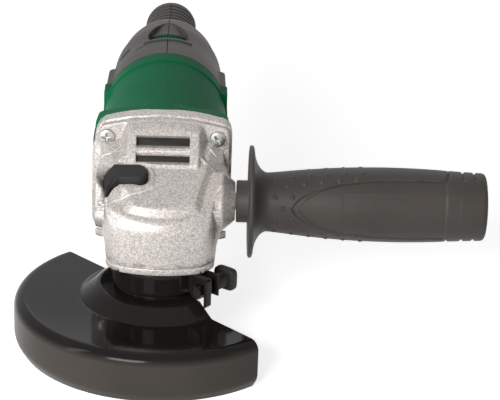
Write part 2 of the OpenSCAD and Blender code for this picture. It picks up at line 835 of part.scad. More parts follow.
module stator_core() {
    color([0.45, 0.45, 0.47]) on_motor_axis(core_y) difference() {
        tube(stator_r, armature_r + air, core_len);
        for (a = [0, 180]) rotate([0, 0, a]) for (m = [0, 1]) mirror([0, m, 0]) rotate([0, 0, 32])
            translate([0, 0, -1]) rotate_extrude(angle = 36) translate([armature_r + air + 1.6, 0])
                square([6, core_len + 2]);
    }
}

// Two field coils: bars through the stator's slots, joined by end turns
module stator_coils() {
    inner = armature_r + air + 1.9;
    coil_w = 5.4;
    from = core_y - overhang + 1;
    to = core_end + overhang - 1;
    color(COPPER) for (a = [0, 180]) on_motor_axis() rotate([0, 0, a]) difference() {
        rotate([0, 0, -67]) rotate_extrude(angle = 134)
            translate([inner, from]) square([coil_w, to - from]);
        rotate([0, 0, -33]) rotate_extrude(angle = 66)
            translate([inner - 1, core_y - 0.5]) square([coil_w + 2, core_len + 1]);
    }
}

module air_baffle() {
    color(BLACK) on_motor_axis(baffle_y) tube(barrel_r - shell_wall - seat, 20, baffle_t);
}

module armature_shaft() {
    color(STEEL) on_motor_axis() rotate_extrude() polygon([
        [0, shaft_start], [shaft_tip_r, shaft_start], [shaft_tip_r, fbearing_y],
            [FRONT_BEARING[0] - seat, fbearing_y],
        [FRONT_BEARING[0] - seat, fan_y + fan_len + 1], [5.6, fan_y + fan_len + 1],
            [5.6, rbearing_y - 0.5],
        [REAR_BEARING[0] - seat, rbearing_y - 0.5], [REAR_BEARING[0] - seat, rbearing_end + 1],
            [0, rbearing_end + 1]
    ]);
}

module armature_core() {
    color([0.5, 0.5, 0.52]) on_motor_axis(core_y) difference() {
        tube(armature_r, 5.6 + seat, core_len);
        for (i = [0:armature_slots - 1]) rotate([0, 0, i * 360 / armature_slots])
            translate([slot_r, -1.6, -1]) cube([slot_depth, 3.2, core_len + 2]);
        for (i = [0:armature_slots - 1]) rotate([0, 0, i * 360 / armature_slots])
            translate([slot_r, -0.6, -1]) cube([armature_r, 1.2, core_len + 2]);
    }
}

module armature_windings() {
    color(COPPER) on_motor_axis() {
        for (y = [core_y - overhang + 0.4, core_end + 0.3])
            translate([0, 0, y]) tube(armature_r - 1.2, 5.6 + seat, overhang - 0.7);
        for (i = [0:armature_slots - 1]) rotate([0, 0, i * 360 / armature_slots])
            translate([slot_r + 0.2, -1.4, core_y - 1]) cube([slot_depth - 0.4, 2.8, core_len + 2]);
    }
}

module commutator() {
    color(COPPER) on_motor_axis(commutator_y) difference() {
        union() {
            cylinder(r = commutator_r + 1.2, h = 1.6);
            cylinder(r = commutator_r, h = commutator_len);
        }
        translate([0, 0, -1]) cylinder(r = 5.6 + seat, h = commutator_len + 2);
        for (i = [0:commutator_bars - 1]) rotate([0, 0, i * 360 / commutator_bars])
            translate([commutator_r - 0.9, -0.25, -1]) cube([3, 0.5, commutator_len + 2]);
    }
}

module cooling_fan() {
    color(BLACK) on_motor_axis(fan_y) difference() {
        union() {
            translate([0, 0, fan_len - 1.5]) cylinder(r = fan_r, h = 1.5);
            cylinder(r = 8, h = fan_len);
            for (i = [0:fan_blades - 1]) rotate([0, 0, i * 360 / fan_blades])
                translate([7, 0, 0.5]) rotate([0, 0, -22]) translate([0, -0.8, 0])
                    cube([17.4, 1.6, fan_len - 1.2]);
        }
        translate([0, 0, -1]) cylinder(r = FRONT_BEARING[0], h = fan_len + 2);
    }
}

module front_bearing_outer() color(STEEL) on_motor_axis(fbearing_y + seat) outer_race(FRONT_BEARING);
module front_bearing_inner() color(STEEL) on_motor_axis(fbearing_y + seat) inner_race(FRONT_BEARING);
module front_bearing_balls() color(BRASS) on_motor_axis(fbearing_y + seat) ball_set(FRONT_BEARING);
module rear_bearing_outer() color(STEEL) on_motor_axis(rbearing_y) outer_race(REAR_BEARING);
module rear_bearing_inner() color(STEEL) on_motor_axis(rbearing_y) inner_race(REAR_BEARING);
module rear_bearing_balls() color(BRASS) on_motor_axis(rbearing_y) ball_set(REAR_BEARING);
module spindle_bearing_outer() color(STEEL) translate([0, 0, sbearing_z + seat])
    outer_race(SPINDLE_BEARING);
module spindle_bearing_inner() color(STEEL) translate([0, 0, sbearing_z + seat])
    inner_race(SPINDLE_BEARING);
module spindle_bearing_balls() color(BRASS) translate([0, 0, sbearing_z + seat])
    ball_set(SPINDLE_BEARING);

module rear_bearing_bush() {
    color(BLACK) on_motor_axis(rbearing_y)
        tube(REAR_BEARING[1] + boot_wall, REAR_BEARING[1] + seat, REAR_BEARING[2]);
}

// Brushes: a block, a brass box round it and a spring behind it, mirrored to both sides
module brush_left() brush(-1);
module brush_right() brush(1);

module brush(s) {
    color([0.2, 0.2, 0.22]) difference() {
        translate([s > 0 ? 0 : -brush_back, brush_y - brush_w / 2, axis_z - brush_t / 2])
            cube([brush_back, brush_w, brush_t]);
        on_motor_axis(commutator_y) cylinder(r = brush_tip, h = commutator_len);
    }
}

module brush_holders() {
    color(BRASS) for (s = [0, 1]) mirror([s, 0, 0]) difference() {
        translate([13, brush_y - brush_w / 2 - 0.9, axis_z - brush_t / 2 - 0.9])
            cube([brush_box_end - 13, brush_w + 1.8, brush_t + 1.8]);
        translate([0, brush_y - brush_w / 2 - 0.08, axis_z - brush_t / 2 - 0.08])
            cube([brush_cap_x, brush_w + 0.16, brush_t + 0.16]);
    }
}

module brush_spring_left() brush_spring(-1);
module brush_spring_right() brush_spring(1);

module brush_spring(s) {
    color(STEEL) translate([s * (brush_back + seat), brush_y, axis_z]) rotate([0, 90 * s, 0])
        coil(2.2, 0.3, brush_spring_len - 2 * seat, 3);
}

// ---------- bevel gears ----------

// Involute function of an angle in degrees, in radians
function involute(a) = tan(a) - a * PI / 180;

// Half of a tooth's angle at radius r, for a gear of n teeth
function tooth_half_angle(n, m, r) =
    let (pitch = n * m / 2, base = pitch * cos(pressure_angle), at = r > base ? acos(base / r) : 0)
    (PI / (2 * n) - backlash / (2 * n * m) + involute(pressure_angle) - involute(at)) * 180 / PI;

// Section of one tooth at the large end: pitch point at the origin, +Y away from the gear
module tooth_section(n, m, add, root) {
    pitch = n * m / 2;
    steps = 5;
    radii = [for (i = [0:steps]) pitch - root + (root + add) * i / steps];
    right = [for (r = radii) let (a = tooth_half_angle(n, m, r)) [r * sin(a), r * cos(a) - pitch]];
    left = [for (i = [steps:-1:0]) [-right[i][0], right[i][1]]];
    sunk = -root - 0.8 * m;
    polygon(concat([[right[0][0] + 0.1, sunk]], right, left, [[left[steps][0] - 0.1, sunk]]));
}

module bevel_teeth(n, pitch_r, cone_angle, add, first) {
    virtual = n / cos(cone_angle);
    for (i = [0:n - 1]) rotate([0, 0, first + i * 360 / n]) translate([pitch_r, 0, 0])
        rotate([0, 90 - cone_angle, 0]) rotate([90, 0, -90])
            linear_extrude(face_w, scale = toe_scale)
                tooth_section(virtual, gear_module, add, tooth_root);
}

module bevel_gear() {
    foot = tooth_root * cos(90 - pinion_angle);
    color([0.55, 0.55, 0.57]) difference() {
        union() {
            translate([0, 0, gear_pitch_z])
                bevel_teeth(gear_teeth, gear_pitch_r, 90 - pinion_angle, gear_add, 90);
            rotate_extrude() polygon([
                [0, gear_back_z], [gear_rim_r, gear_back_z],
                    [gear_rim_r, gear_pitch_z - tooth_root - 0.15],
                [gear_toe_r + 0.2, gear_web_z + 1.25], [gear_toe_r - 0.6, gear_web_z],
                    [0, gear_web_z]]);
            translate([0, 0, sbearing_top + 2 * seat])
                cylinder(r = gear_hub_r, h = gear_back_z - sbearing_top);
        }
        translate([0, 0, 10]) cylinder(r = spindle_r + seat, h = 60);
        for (i = [0:lock_holes - 1]) rotate([0, 0, i * 360 / lock_holes])
            translate([lock_x, 0, gear_back_z - 1]) cylinder(r = lock_hole_r, h = 20);
        translate([spindle_r - 1, -key_w / 2 - seat, gear_back_z - key_len / 2])
            cube([2.6, key_w + 2 * seat, 40]);
    }
}

module gear_key() {
    color(STEEL) translate([spindle_r - 1.4, -key_w / 2, gear_back_z - key_len / 2 + 0.1])
        cube([2.8, key_w, key_len]);
}

module spindle() {
    color(STEEL) difference() {
        rotate_extrude() polygon([
            [0, -thread_len], [thread_r - 1, -thread_len], [thread_r, 1 - thread_len],
                [thread_r, flange_t],
            [collar_r, flange_t], [collar_r, sbearing_z], [spindle_r, sbearing_z],
                [spindle_r, gear_seat_top],
            [spindle_tip_r, gear_seat_top], [spindle_tip_r, needle_z + needle_len - 0.5],
            [0, needle_z + needle_len - 0.5]]);
        translate([spindle_r - 1.4 - seat, -key_w / 2 - seat, gear_back_z - key_len / 2])
            cube([4, key_w + 2 * seat, key_len + 0.2]);
    }
}

module pinion() {
    color([0.55, 0.55, 0.57]) on_motor_axis() difference() {
        union() {
            translate([0, 0, gear_pitch_r]) mirror([0, 0, 1])
                bevel_teeth(pinion_teeth, pinion_pitch_r, pinion_angle, pinion_add,
                    90 + 180 / pinion_teeth);
            rotate_extrude() polygon([
                [0, pinion_toe_y - pinion_collar], [shaft_tip_r + 0.7, pinion_toe_y - pinion_collar],
                [shaft_tip_r + 0.7, pinion_toe_y], [pinion_pitch_r * toe_scale - 0.6, pinion_toe_y],
                [pinion_pitch_r - tooth_root * 0.9, gear_pitch_r], [0, gear_pitch_r]]);
            translate([0, 0, gear_pitch_r - 0.2])
                cylinder(r1 = pinion_pitch_r - 0.9, r2 = pinion_pitch_r + 0.5, h = 1.6);
            translate([0, 0, gear_pitch_r + 1.3])
                cylinder(r = pinion_pitch_r + 0.5, h = fbearing_y - gear_pitch_r - 1.3);
        }
        cylinder(r = shaft_tip_r + seat, h = 60);
    }
}

module pinion_nut() {
    color(STEEL) on_motor_axis(shaft_start) difference() {
        cylinder(r = pinion_nut_r, h = pinion_nut_t, $fn = 6);
        translate([0, 0, -1]) cylinder(r = shaft_tip_r + seat, h = 10);
    }
}

// ---------- spindle end ----------

module wheel_flange() {
    color(STEEL) difference() {
        union() {
            rotate_extrude() polygon([
                [0, 0], [flange_r, 0], [flange_r, flange_t - 2.2], [flange_r - 3, flange_t],
                    [0, flange_t]]);
            translate([0, 0, -pilot_h]) cylinder(r = wheel_bore_d / 2, h = pilot_h + 1);
        }
        translate([0, 0, -10]) cylinder(r = thread_r + seat, h = 30);
    }
}

module lock_nut() {
    color(STEEL) translate([0, 0, -pilot_h - seat - nut_t]) difference() {
        rotate_extrude() polygon([
            [0, 0], [flange_r - 7, 0], [flange_r, 2.6], [flange_r, nut_t], [0, nut_t]]);
        translate([0, 0, -1]) cylinder(r = thread_r + slip, h = nut_t + 2);
        for (s = [-1, 1]) translate([s * spanner_pitch / 2, 0, -1])
            cylinder(r = spanner_hole_d / 2, h = nut_t + 2);
    }
}

// ---------- guard ----------

// One face of the guard's sheet in section, from the neck out to the hem
function guard_face(inset) = concat(
    [[ledge_r - 1.5 + inset * 0.3, ledge_z - inset]],
    arc(ledge_r - 1.5, ledge_z - 1.5, max(0.2, 1.5 - inset * 0.7), 75, 35, 3),
    [[hat_r - 2.6 - inset * 0.8, guard_plate_z + 1.2 - inset * 0.55]],
    [[hat_r - inset * 0.4, guard_plate_z - inset]],
    arc(guard_r - guard_corner_r, guard_plate_z - guard_corner_r, guard_corner_r - inset, 90, 0, 6),
    arc(guard_r - guard_hem_r, guard_plate_z - guard_depth + guard_hem_r, guard_hem_r - inset, 0, -62,
        6));

// Section through neck and sheet
module guard_section() {
    neck_top = band_z + band_h + 0.5;
    inner = guard_face(guard_wall);
    polygon(concat(
        [[guard_neck_in, neck_top], [guard_neck_out, neck_top], [guard_neck_out, ledge_z]],
        guard_face(0), [for (i = [len(inner) - 1:-1:0]) inner[i]],
        [[guard_neck_in, ledge_z - guard_wall]]));
}

module wheel_guard() {
    color(BLACK) {
        difference() {
            rotate_extrude() guard_section();
            difference() {
                rotate([0, 0, guard_open_dir]) translate([0, -100, -50]) cube([100, 200, 100]);
                translate([0, 0, -60]) cylinder(r = ledge_r - 4, h = 120);
            }
            rotate([0, 0, ear_dir]) translate([0, -1.2, ledge_z + 1]) cube([40, 2.4, 30]);
        }
        for (a = [0, 120, 240]) intersection() {
            translate([0, 0, lug_z]) tube(guard_neck_in + 0.5, neck_r - lug_depth, lug_h);
            rotate([0, 0, a + 10]) translate([0, -3.5, 0]) cube([30, 7, 30]);
        }
    }
}

// The clamp band in plan: a split ring whose ends turn out into two ears
module band_outline() {
    difference() {
        circle(r = band_out);
        circle(r = band_in);
        translate([0, -ear_gap]) square([band_out + 5, 2 * ear_gap]);
    }
    for (s = [-1, 1]) translate([band_in + 0.4, s * ear_gap - ear_t / 2])
        square([ear_len + band_wall - 0.2, ear_t]);
}

module guard_band() {
    color(BLACK) difference() {
        union() {
            translate([0, 0, band_z]) rotate([0, 0, ear_dir]) linear_extrude(band_h) band_outline();
            rotate([0, 0, ear_dir])
                translate([band_in + ear_len + band_wall + 0.5 - tab_t, -ear_gap - ear_t / 2 - 3,
                    band_z - tab_drop])
                cube([tab_t, ear_t + 2.7, band_h + tab_drop - 0.5]);
        }
        on_clamp_axis(-20) cylinder(r = stud_r_clamp + slip, h = 40);
    }
}

module clamp_nut() {
    color(BLACK) on_clamp_axis(-ear_gap - ear_t / 2 - seat) mirror([0, 0, 1]) difference() {
        union() {
            cylinder(r = 3.5, h = 2.4, $fn = 6);
            translate([0, 0, 2.3]) cylinder(r = 3, h = 1.2);
        }
        translate([0, 0, -1]) cylinder(r = stud_r_clamp + slip, h = 10);
    }
}

module clamp_stud() {
    color(STEEL) on_clamp_axis(-ear_gap - ear_t / 2 - 3)
        cylinder(r = stud_r_clamp, h = knob_offset + ear_gap + ear_t / 2 + 3 - seat);
}

module thumb_knob() {
    color(BLACK) {
        on_clamp_axis(knob_offset) linear_extrude(4) polygon(rounded_outline(6.2, 6.6, 3));
        on_clamp_axis(ear_gap + ear_t / 2 + 0.3)
            tube(3.6, stud_r_clamp + seat, knob_offset - ear_gap - ear_t / 2 - 0.3 + E);
    }
}

// ---------- rear handle ----------

// Radius of the handle at a distance t (0 to 1) along its taper
function taper_r(t) = bulge_r - (bulge_r - tail_r) * pow(t, taper_power);

// Outer profile (radius, y), then the grooved tail
function grip_outer() = concat(
    [[barrel_r, barrel_end], [barrel_r - 0.3, barrel_end + 12], [bulge_r, window_y]],
    [for (i = [0:7]) [taper_r(i / 7), taper_y + (tail_y - taper_y) * i / 7]],
    [for (i = [0:tail_grooves - 1]) for (k = [[0.3, 0], [0.45, 1.1], [0.75, 1.1], [0.9, 0]])
        [tail_r - k[1], tail_y + (tail_len - 8) * (i + k[0]) / tail_grooves]],
    [[tail_r, grip_end - 3], [tail_r - 2, grip_end]]);

function grip_inner() = concat(
    [[tail_r - 5, grip_end + 1], [tail_r - 5, grip_end - tail_wall],
        [tail_r - shell_wall - 1.1, grip_end - tail_wall - 0.01], [tail_r - shell_wall - 1.1, tail_y]],
    [for (i = [6:-1:0]) [taper_r(i / 7) - shell_wall, taper_y + (tail_y - taper_y) * i / 7 - 1]],
    [[bulge_r - shell_wall, window_y], [barrel_r - shell_wall, barrel_end + 12],
        [barrel_r - shell_wall, barrel_end - 1]]);

module grip_body() {
    difference() {
        translate([0, barrel_end, axis_z]) rotate([grip_tilt, 0, 0])
            translate([0, -barrel_end, -axis_z])
            on_motor_axis() rotate_extrude()
                polygon(concat([[0, barrel_end - 0.5]], grip_outer(), [[0, grip_end]]));
        translate([-50, barrel_end - 5 - seat, 0]) cube([100, 5 + 2 * seat, 120]);
    }
}

module grip_hollow() {
    translate([0, barrel_end, axis_z]) rotate([grip_tilt, 0, 0]) translate([0, -barrel_end, -axis_z])
        on_motor_axis() rotate_extrude()
            polygon(concat([[0, grip_end + 1]], grip_inner(), [[0, barrel_end - 1]]));
}

module grip_half(s) {
    difference() {
        union() {
            difference() {
                grip_body();
                grip_hollow();
            }
            intersection() {
                grip_body();
                grip_inside(s);
            }
        }
        translate([s > 0 ? -100 : -seat / 2, 0, 0]) cube([100 + seat / 2, 400, 200]);
        translate([-window_w / 2, window_y, axis_z + 20]) cube([window_w, window_len, 20]);
        for (p = GRIP_SCREWS) translate([-60, p[0], p[1]]) rotate([0, 90, 0]) {
            cylinder(r = grip_screw_r + (s > 0 ? seat : 0.2), h = 60 + screw_post_x);
            cylinder(r = 3.2, h = 60 - screw_post_x);
        }
        side_vents(s);
    }
}

// Slots in each flank that let the cooling air in
module side_vents(s) {
    for (i = [0:4]) translate([s > 0 ? 15 : -45, barrel_end + 14 + i * 6, axis_z - 9])
        cube([30, 2.6, 18]);
}

// Posts, cradle ribs and the saddle of the cord clamp
module grip_inside(s) {
    for (p = GRIP_SCREWS) translate([s > 0 ? 0 : -40, p[0], p[1]]) rotate([0, 90, 0])
        cylinder(r = screw_post_r, h = 40);
    for (y = [switch_y + 4, switch_y + switch_len - 6]) cradle(s, y, switch_hw, 18);
    for (y = [cap_y + 3, cap_y + cap_len - 5]) cradle(s, y, cap_hw, 12);
    if (s > 0) difference() {
        translate([saddle_x, clamp_y - 3, tail_axis_z - 11]) cube([20, 6, 22]);
        for (t = [-1, 1]) translate([0, clamp_y, tail_axis_z + t * clamp_dz]) rotate([0, 90, 0])
            cylinder(r = clamp_screw_r + seat, h = 9);
    }
}

// Pair of rib ends that hold a block from the side, with the switch rod's way between them
module cradle(s, y, half_w, h) {
    inner = half_w + seat;
    way = link_half_h + 1;
    for (z = [axis_z - h / 2, axis_z + way])
        translate([s > 0 ? inner : -40, y, z]) cube([40 - inner, 2, h / 2 - way]);
}

module rear_handle_left() color(GREY) grip_half(-1);
module rear_handle_right() color(GREY) grip_half(1);

module handle_screws() {
    color(STEEL) {
        for (p = GRIP_SCREWS) translate([-screw_post_x - seat, p[0], p[1]]) rotate([0, 90, 0])
            screw(3, 2.2, grip_screw_r, 2 * screw_post_x - 1);
        for (t = [-1, 1]) translate([-clamp_bar_x - seat, clamp_y, tail_axis_z + t * clamp_dz])
            rotate([0, 90, 0])
            screw(2.2, 1.8, clamp_screw_r, 12);
    }
}

module cord_clamp() {
    color(BLACK) difference() {
        translate([-clamp_bar_x, clamp_y - 3, tail_axis_z - 8.6]) cube([clamp_bar_t, 6, 17.2]);
        for (t = [-1, 1]) translate([-20, clamp_y, tail_axis_z + t * clamp_dz]) rotate([0, 90, 0])
            cylinder(r = clamp_screw_r + 0.1, h = 40);
    }
}

module cord_gland() {
    lift = (grip_end - barrel_end) * sin(grip_tilt);
    color(BLACK) on_motor_axis() translate([0, -lift, 0]) rotate_extrude() polygon([
        [cable_d / 2, grip_end - tail_wall - 5], [tail_r - 4.2, grip_end - tail_wall - 5],
        [tail_r - 4.2, grip_end - tail_wall - 0.4], [tail_r - 5.4, grip_end - tail_wall - 0.4],
        [tail_r - 5.4, grip_end + 1.2], [tail_r - 6.4, grip_end + 2], [cable_d / 2, grip_end + 2]]);
}

// ---------- electrics and switch ----------
module switch_block() {
    color([0.15, 0.15, 0.16]) {
        translate([-switch_hw, switch_y, axis_z - 12]) cube([2 * switch_hw, switch_len, 22]);
        for (x = [-5, 5]) translate([x - 2, switch_y + switch_len - E, axis_z - 6]) cube([4, 3, 12]);
    }
}

module capacitor() {
    color([0.75, 0.6, 0.12]) translate([-cap_hw, cap_y, axis_z - 7]) cube([2 * cap_hw, cap_len, 15]);
}

// The rod's path in plan, from the knob to the switch, at the rail's inner side
function link_path() = [
    [-link_x, rail_y + 38], [-link_x, barrel_end - 14 + switch_travel],
        [-link_in, barrel_end - 5 + switch_travel],
    [-link_in, window_y], [6.6 - bulge_r, window_y + 6], [6.6 - bulge_r, switch_y + 14],
    [-link_hook_x, switch_y + 20]];

// A strip of a given width that follows the path
function strip(path, w) = concat(
    [for (p = path) [p[0] - w / 2, p[1]]],
        [for (i = [len(path) - 1:-1:0]) [path[i][0] + w / 2, path[i][1]]]);

module switch_link() {
    color(BLACK) {
        translate([0, 0, axis_z - link_half_h]) linear_extrude(2 * link_half_h)
            polygon(strip(link_path(), link_t));
        translate([-link_hook_x - link_t / 2, switch_y + 20 - E, axis_z - link_half_h])
            cube([link_hook_x - switch_hw + link_t / 2 - 0.3, 2, 2 * link_half_h]);
    }
}

// Room for the rod in the housing: through the rail's face for the knob's neck, and along its inside
module link_slot() {
    translate([-rail_x - 1, rail_y + 36 - switch_travel, axis_z - link_half_h - 0.5])
        cube([4.6, 14 + switch_travel, link_half_h + 1]);
    path = [for (i = [0:3]) link_path()[i]];
    reach = link_t / 2 + 0.5;
    translate([0, 0, axis_z - link_half_h - 0.5]) linear_extrude(2 * link_half_h + 1) polygon(concat(
        [[path[0][0] - reach, path[0][1] - switch_travel - 0.5]],
        [for (i = [1:3]) [path[i][0] - reach, path[i][1] + 0.5]],
        [for (i = [3:-1:0]) [path[i][0] + reach, path[i][1] - switch_travel - 0.5]]));
}

module switch_slider() {
    top = rail_x + 2.2;
    color(BLACK) union() {
        intersection() {
            translate([-top, rail_y + 32, axis_z - 13]) cube([top - rail_x - 0.3, 26, 14]);
            translate([0, rail_y + 45, 0]) rotate([0, 0, 90]) translate([0, rail_x - 20, 0])
                translate([0, 0, axis_z - 6]) rotate([90, 0, 0]) translate([0, 0, -60])
                    cylinder(r = 13.8, h = 100);
        }
        translate([-rail_x - 0.5, rail_y + 38, axis_z - link_half_h])
            cube([rail_x + 0.5 - link_x - link_t / 2 - seat, 10, link_half_h]);
        for (i = [-2:2]) translate([-top - 0.4, rail_y + 45 + i * 3 - 0.6, axis_z - 11.5])
            cube([1, 1.2, 11]);
    }
}

// ---------- side handle ----------

// Grip profile (radius, distance from the spigot's end)
function side_profile() =
    let (x0 = side_rim_x - side_x, end = side_end - side_x, body = end - x0)
    concat(
        [[side_spigot_r, 0], [side_spigot_r, x0 - 0.6], [side_flange_r - 1, x0 - 0.4],
            [side_flange_r, x0 + 0.6],
            [side_flange_r - 0.4, x0 + 1.6]],
        arc(side_flange_r - 6.6, x0 + 8, 6.5, 290, 180, 8),
        [for (i = [1:8]) let (t = i / 9) [13.4 + (side_grip_r - 13.4) * sin(105 * t),
            x0 + 8 + (body - 10) * t]],
        arc(side_grip_r - 6.2, end - 4.5, 4.5, 0, 90, 5));

module side_handle_grip() {
    notch = [19, 13.4, 8.4];
    color(GREY) difference() {
        on_side_axis(side_x) rotate_extrude()
            polygon(concat([[0, 0]], side_profile(), [[0, side_end - side_x]]));
        on_side_axis(side_x - 1) cylinder(r = stud_r + seat, h = 42);
        for (n = notch, s = [-1, 1])
            translate([side_end - n, handle_y - 9, handle_z + s * (side_grip_r - 0.7) - 2])
            cube([1.6, 18, 4]);
    }
}

module side_handle_stud() {
    color(STEEL) on_side_axis(boss_x - stud_reach) cylinder(r = stud_r - slip, h = stud_reach + 40);
}

gear_housing();
gear_cover();
cover_gasket();
cover_screws();
housing_screws();
lock_button();
lock_pin();
lock_spring();
motor_housing();
rear_handle_left();
rear_handle_right();
handle_screws();
switch_block();
capacitor();
cord_clamp();
cord_gland();
switch_slider();
switch_link();
stator_core();
stator_coils();
air_baffle();
armature_shaft();
armature_core();
armature_windings();
commutator();
cooling_fan();
pinion();
pinion_nut();
front_bearing_outer();
front_bearing_inner();
front_bearing_balls();
rear_bearing_outer();
rear_bearing_inner();
rear_bearing_balls();
rear_bearing_bush();
brush_holders();
brush_left();
brush_right();
brush_spring_left();
brush_spring_right();
spindle();
bevel_gear();
gear_key();
wheel_flange();
lock_nut();
spindle_bearing_outer();
spindle_bearing_inner();
spindle_bearing_balls();
bearing_retainer();
dust_seal();
needle_bearing();
wheel_guard();
guard_band();
clamp_nut();
clamp_stud();
thumb_knob();
side_handle_grip();
side_handle_stud();
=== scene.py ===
import functools
import json
import math

import bmesh
import bpy
import numpy as np
from mathutils import Matrix, Vector

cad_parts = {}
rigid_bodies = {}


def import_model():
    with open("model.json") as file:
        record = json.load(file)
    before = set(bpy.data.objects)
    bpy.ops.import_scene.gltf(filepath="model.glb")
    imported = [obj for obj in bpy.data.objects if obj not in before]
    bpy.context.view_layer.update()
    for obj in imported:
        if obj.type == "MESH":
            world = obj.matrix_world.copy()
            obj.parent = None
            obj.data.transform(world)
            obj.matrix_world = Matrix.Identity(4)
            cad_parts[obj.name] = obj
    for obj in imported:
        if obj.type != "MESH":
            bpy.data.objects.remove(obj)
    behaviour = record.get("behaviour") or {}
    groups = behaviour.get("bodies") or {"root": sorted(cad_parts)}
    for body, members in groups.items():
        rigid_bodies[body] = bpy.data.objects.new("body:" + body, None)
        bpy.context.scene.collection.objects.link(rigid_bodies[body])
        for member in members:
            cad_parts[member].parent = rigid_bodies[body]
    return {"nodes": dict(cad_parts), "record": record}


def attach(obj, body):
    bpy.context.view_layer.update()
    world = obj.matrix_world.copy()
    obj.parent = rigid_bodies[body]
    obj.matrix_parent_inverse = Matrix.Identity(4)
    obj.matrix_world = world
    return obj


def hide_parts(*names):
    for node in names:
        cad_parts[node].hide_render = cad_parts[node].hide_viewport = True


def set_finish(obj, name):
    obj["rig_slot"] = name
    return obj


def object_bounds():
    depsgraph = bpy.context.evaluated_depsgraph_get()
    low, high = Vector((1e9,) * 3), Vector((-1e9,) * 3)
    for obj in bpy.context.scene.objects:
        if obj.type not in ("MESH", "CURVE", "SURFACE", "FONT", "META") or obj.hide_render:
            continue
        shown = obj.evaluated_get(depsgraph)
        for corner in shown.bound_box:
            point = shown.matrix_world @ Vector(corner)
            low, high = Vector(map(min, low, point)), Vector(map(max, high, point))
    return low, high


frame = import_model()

cad_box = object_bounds()

# Angle grinder, in its solids' own frame: +Z up the spindle, +Y towards the tail, +X towards the
# side handle. Shapes are worked out in millimetres, and meshes are in metres.

MM = 0.001
TAU = 2 * math.pi
AXIS_Z = 58.0                       # motor axis above the wheel seat
SIDE_Y, SIDE_Z = 2.0, 56.0          # axis of the side handle and its two threads
HEAD_REAR = 33.0                    # joint between gear head and barrel
BARREL_REAR = 117.0                 # joint between barrel and rear handle
ARCH_TOP, ARCH_R = AXIS_Z + 31.3, 112.0     # shallow arch over the joint of head and barrel


# ---------- distance fields ----------
# A field is negative inside a form and grows by about one per millimetre outside it. A slanted
# wall is its outward and its upward distance, weighed by the cosine and the sine of its slant.

def meet(a, b, r):
    """Where both forms are: the common edge is an arc of radius r, from the length of the two
    fields' overshoot past their inner offset."""
    return (np.minimum(np.maximum(a + r, b + r), 0) - r
            + np.hypot(np.maximum(a + r, 0), np.maximum(b + r, 0)))


def join(a, b, r):
    """Both forms together, with a hollow fillet of radius r between them."""
    return -meet(-a, -b, r)


def cut(a, b, r):
    """The first form less the second, with the edge between them rounded to radius r."""
    return meet(a, -b, r)


def within(*fields):
    """Where all the forms are, with plain edges: the largest of their fields."""
    return functools.reduce(np.maximum, fields)


def round_corner(a, b, r):
    """Two fields that meet in a square corner, grown by r: the length of their overshoot."""
    return np.hypot(np.maximum(a, 0), np.maximum(b, 0)) + np.minimum(np.maximum(a, b), 0) - r


def outline_field(x, y, points, r=0.0):
    """Distance from a closed outline, negative inside: the least distance from its edges, with the
    sign from how often a level ray crosses it. The outline then grows by r, which rounds corners."""
    p = np.asarray(points, float)
    near = np.full(np.shape(x), np.inf)
    inside = np.zeros(np.shape(x), bool)
    for a, b in zip(p, np.roll(p, -1, axis=0)):
        e = b - a
        t = np.clip(((x - a[0]) * e[0] + (y - a[1]) * e[1]) / (e @ e), 0, 1)
        near = np.minimum(near, np.hypot(x - a[0] - t * e[0], y - a[1] - t * e[1]))
        if a[1] != b[1]:
            beside = x < (b[0] - a[0]) * (y - a[1]) / (b[1] - a[1]) + a[0]
            inside ^= ((a[1] > y) != (b[1] > y)) & beside
    return np.where(inside, -near, near) - r


def smooth(t):
    """Goes from 0 to 1 as t does, level at both ends: t squared times 3 less 2 t."""
    t = np.clip(t, 0, 1)
    return t * t * (3 - 2 * t)


def march(field, start, end, outer=1.0, steps=48, halvings=14, stride=0.7, margin=0.3):
    """Where lines from start to end, stretched by outer, first meet the field from outside. All
    lines at once step inward by a share of the field's own value, and back out where it is below
    zero; then halving finds the surface within a margin of the last place."""
    way = end - start
    length = np.linalg.norm(way, axis=-1)

    def value(s):
        p = start + way * s[..., None]
        return field(p[..., 0], p[..., 1], p[..., 2])

    s = np.full(length.shape, outer)
    for _ in range(steps):
        s = np.maximum(s - stride * value(s) / length, 0)
    high, low = s + margin / length, s - margin / length
    for _ in range(halvings):
        middle = (high + low) / 2
        inside = value(middle) < 0
        low, high = np.where(inside, middle, low), np.where(inside, high, middle)
    return start + way * ((high + low) / 2)[..., None]


# ---------- points on lines and grids ----------

def spread(stations, counts):
    """Values along a list of stations, with a given number of equal steps between neighbours."""
    out = [np.linspace(a, b, n, endpoint=False) for a, b, n in zip(stations, stations[1:], counts)]
    return np.concatenate(out + [[stations[-1]]])


def round_trip(count):
    """Evenly spaced angles of one whole turn."""
    return np.linspace(0, TAU, count, endpoint=False)


def rotate(x, y, angle):
    """Plan coordinates turned about the origin."""
    c, s = math.cos(angle), math.sin(angle)
    return x * c - y * s, x * s + y * c


def run_of(points):
    """Length along a line of points, from the first one to each."""
    return np.concatenate([[0], np.cumsum(np.linalg.norm(np.diff(points, axis=0), axis=1))])


def along(places, stations, points):
    """Points at given places of a line whose corners stand at given stations."""
    return np.stack([np.interp(places, stations, c) for c in np.asarray(points, float).T], -1)


def outward(outline):
    """Unit normals of a closed plan outline, away from what it encloses: its tangents turned a
    quarter, with the sign of the enclosed area."""
    t = np.roll(outline, -1, axis=0) - np.roll(outline, 1, axis=0)
    n = np.stack([t[:, 1], -t[:, 0]], -1) / np.linalg.norm(t, axis=1, keepdims=True)
    x, y = outline.T
    return n * np.sign(np.sum(x * np.roll(y, -1) - y * np.roll(x, -1)))


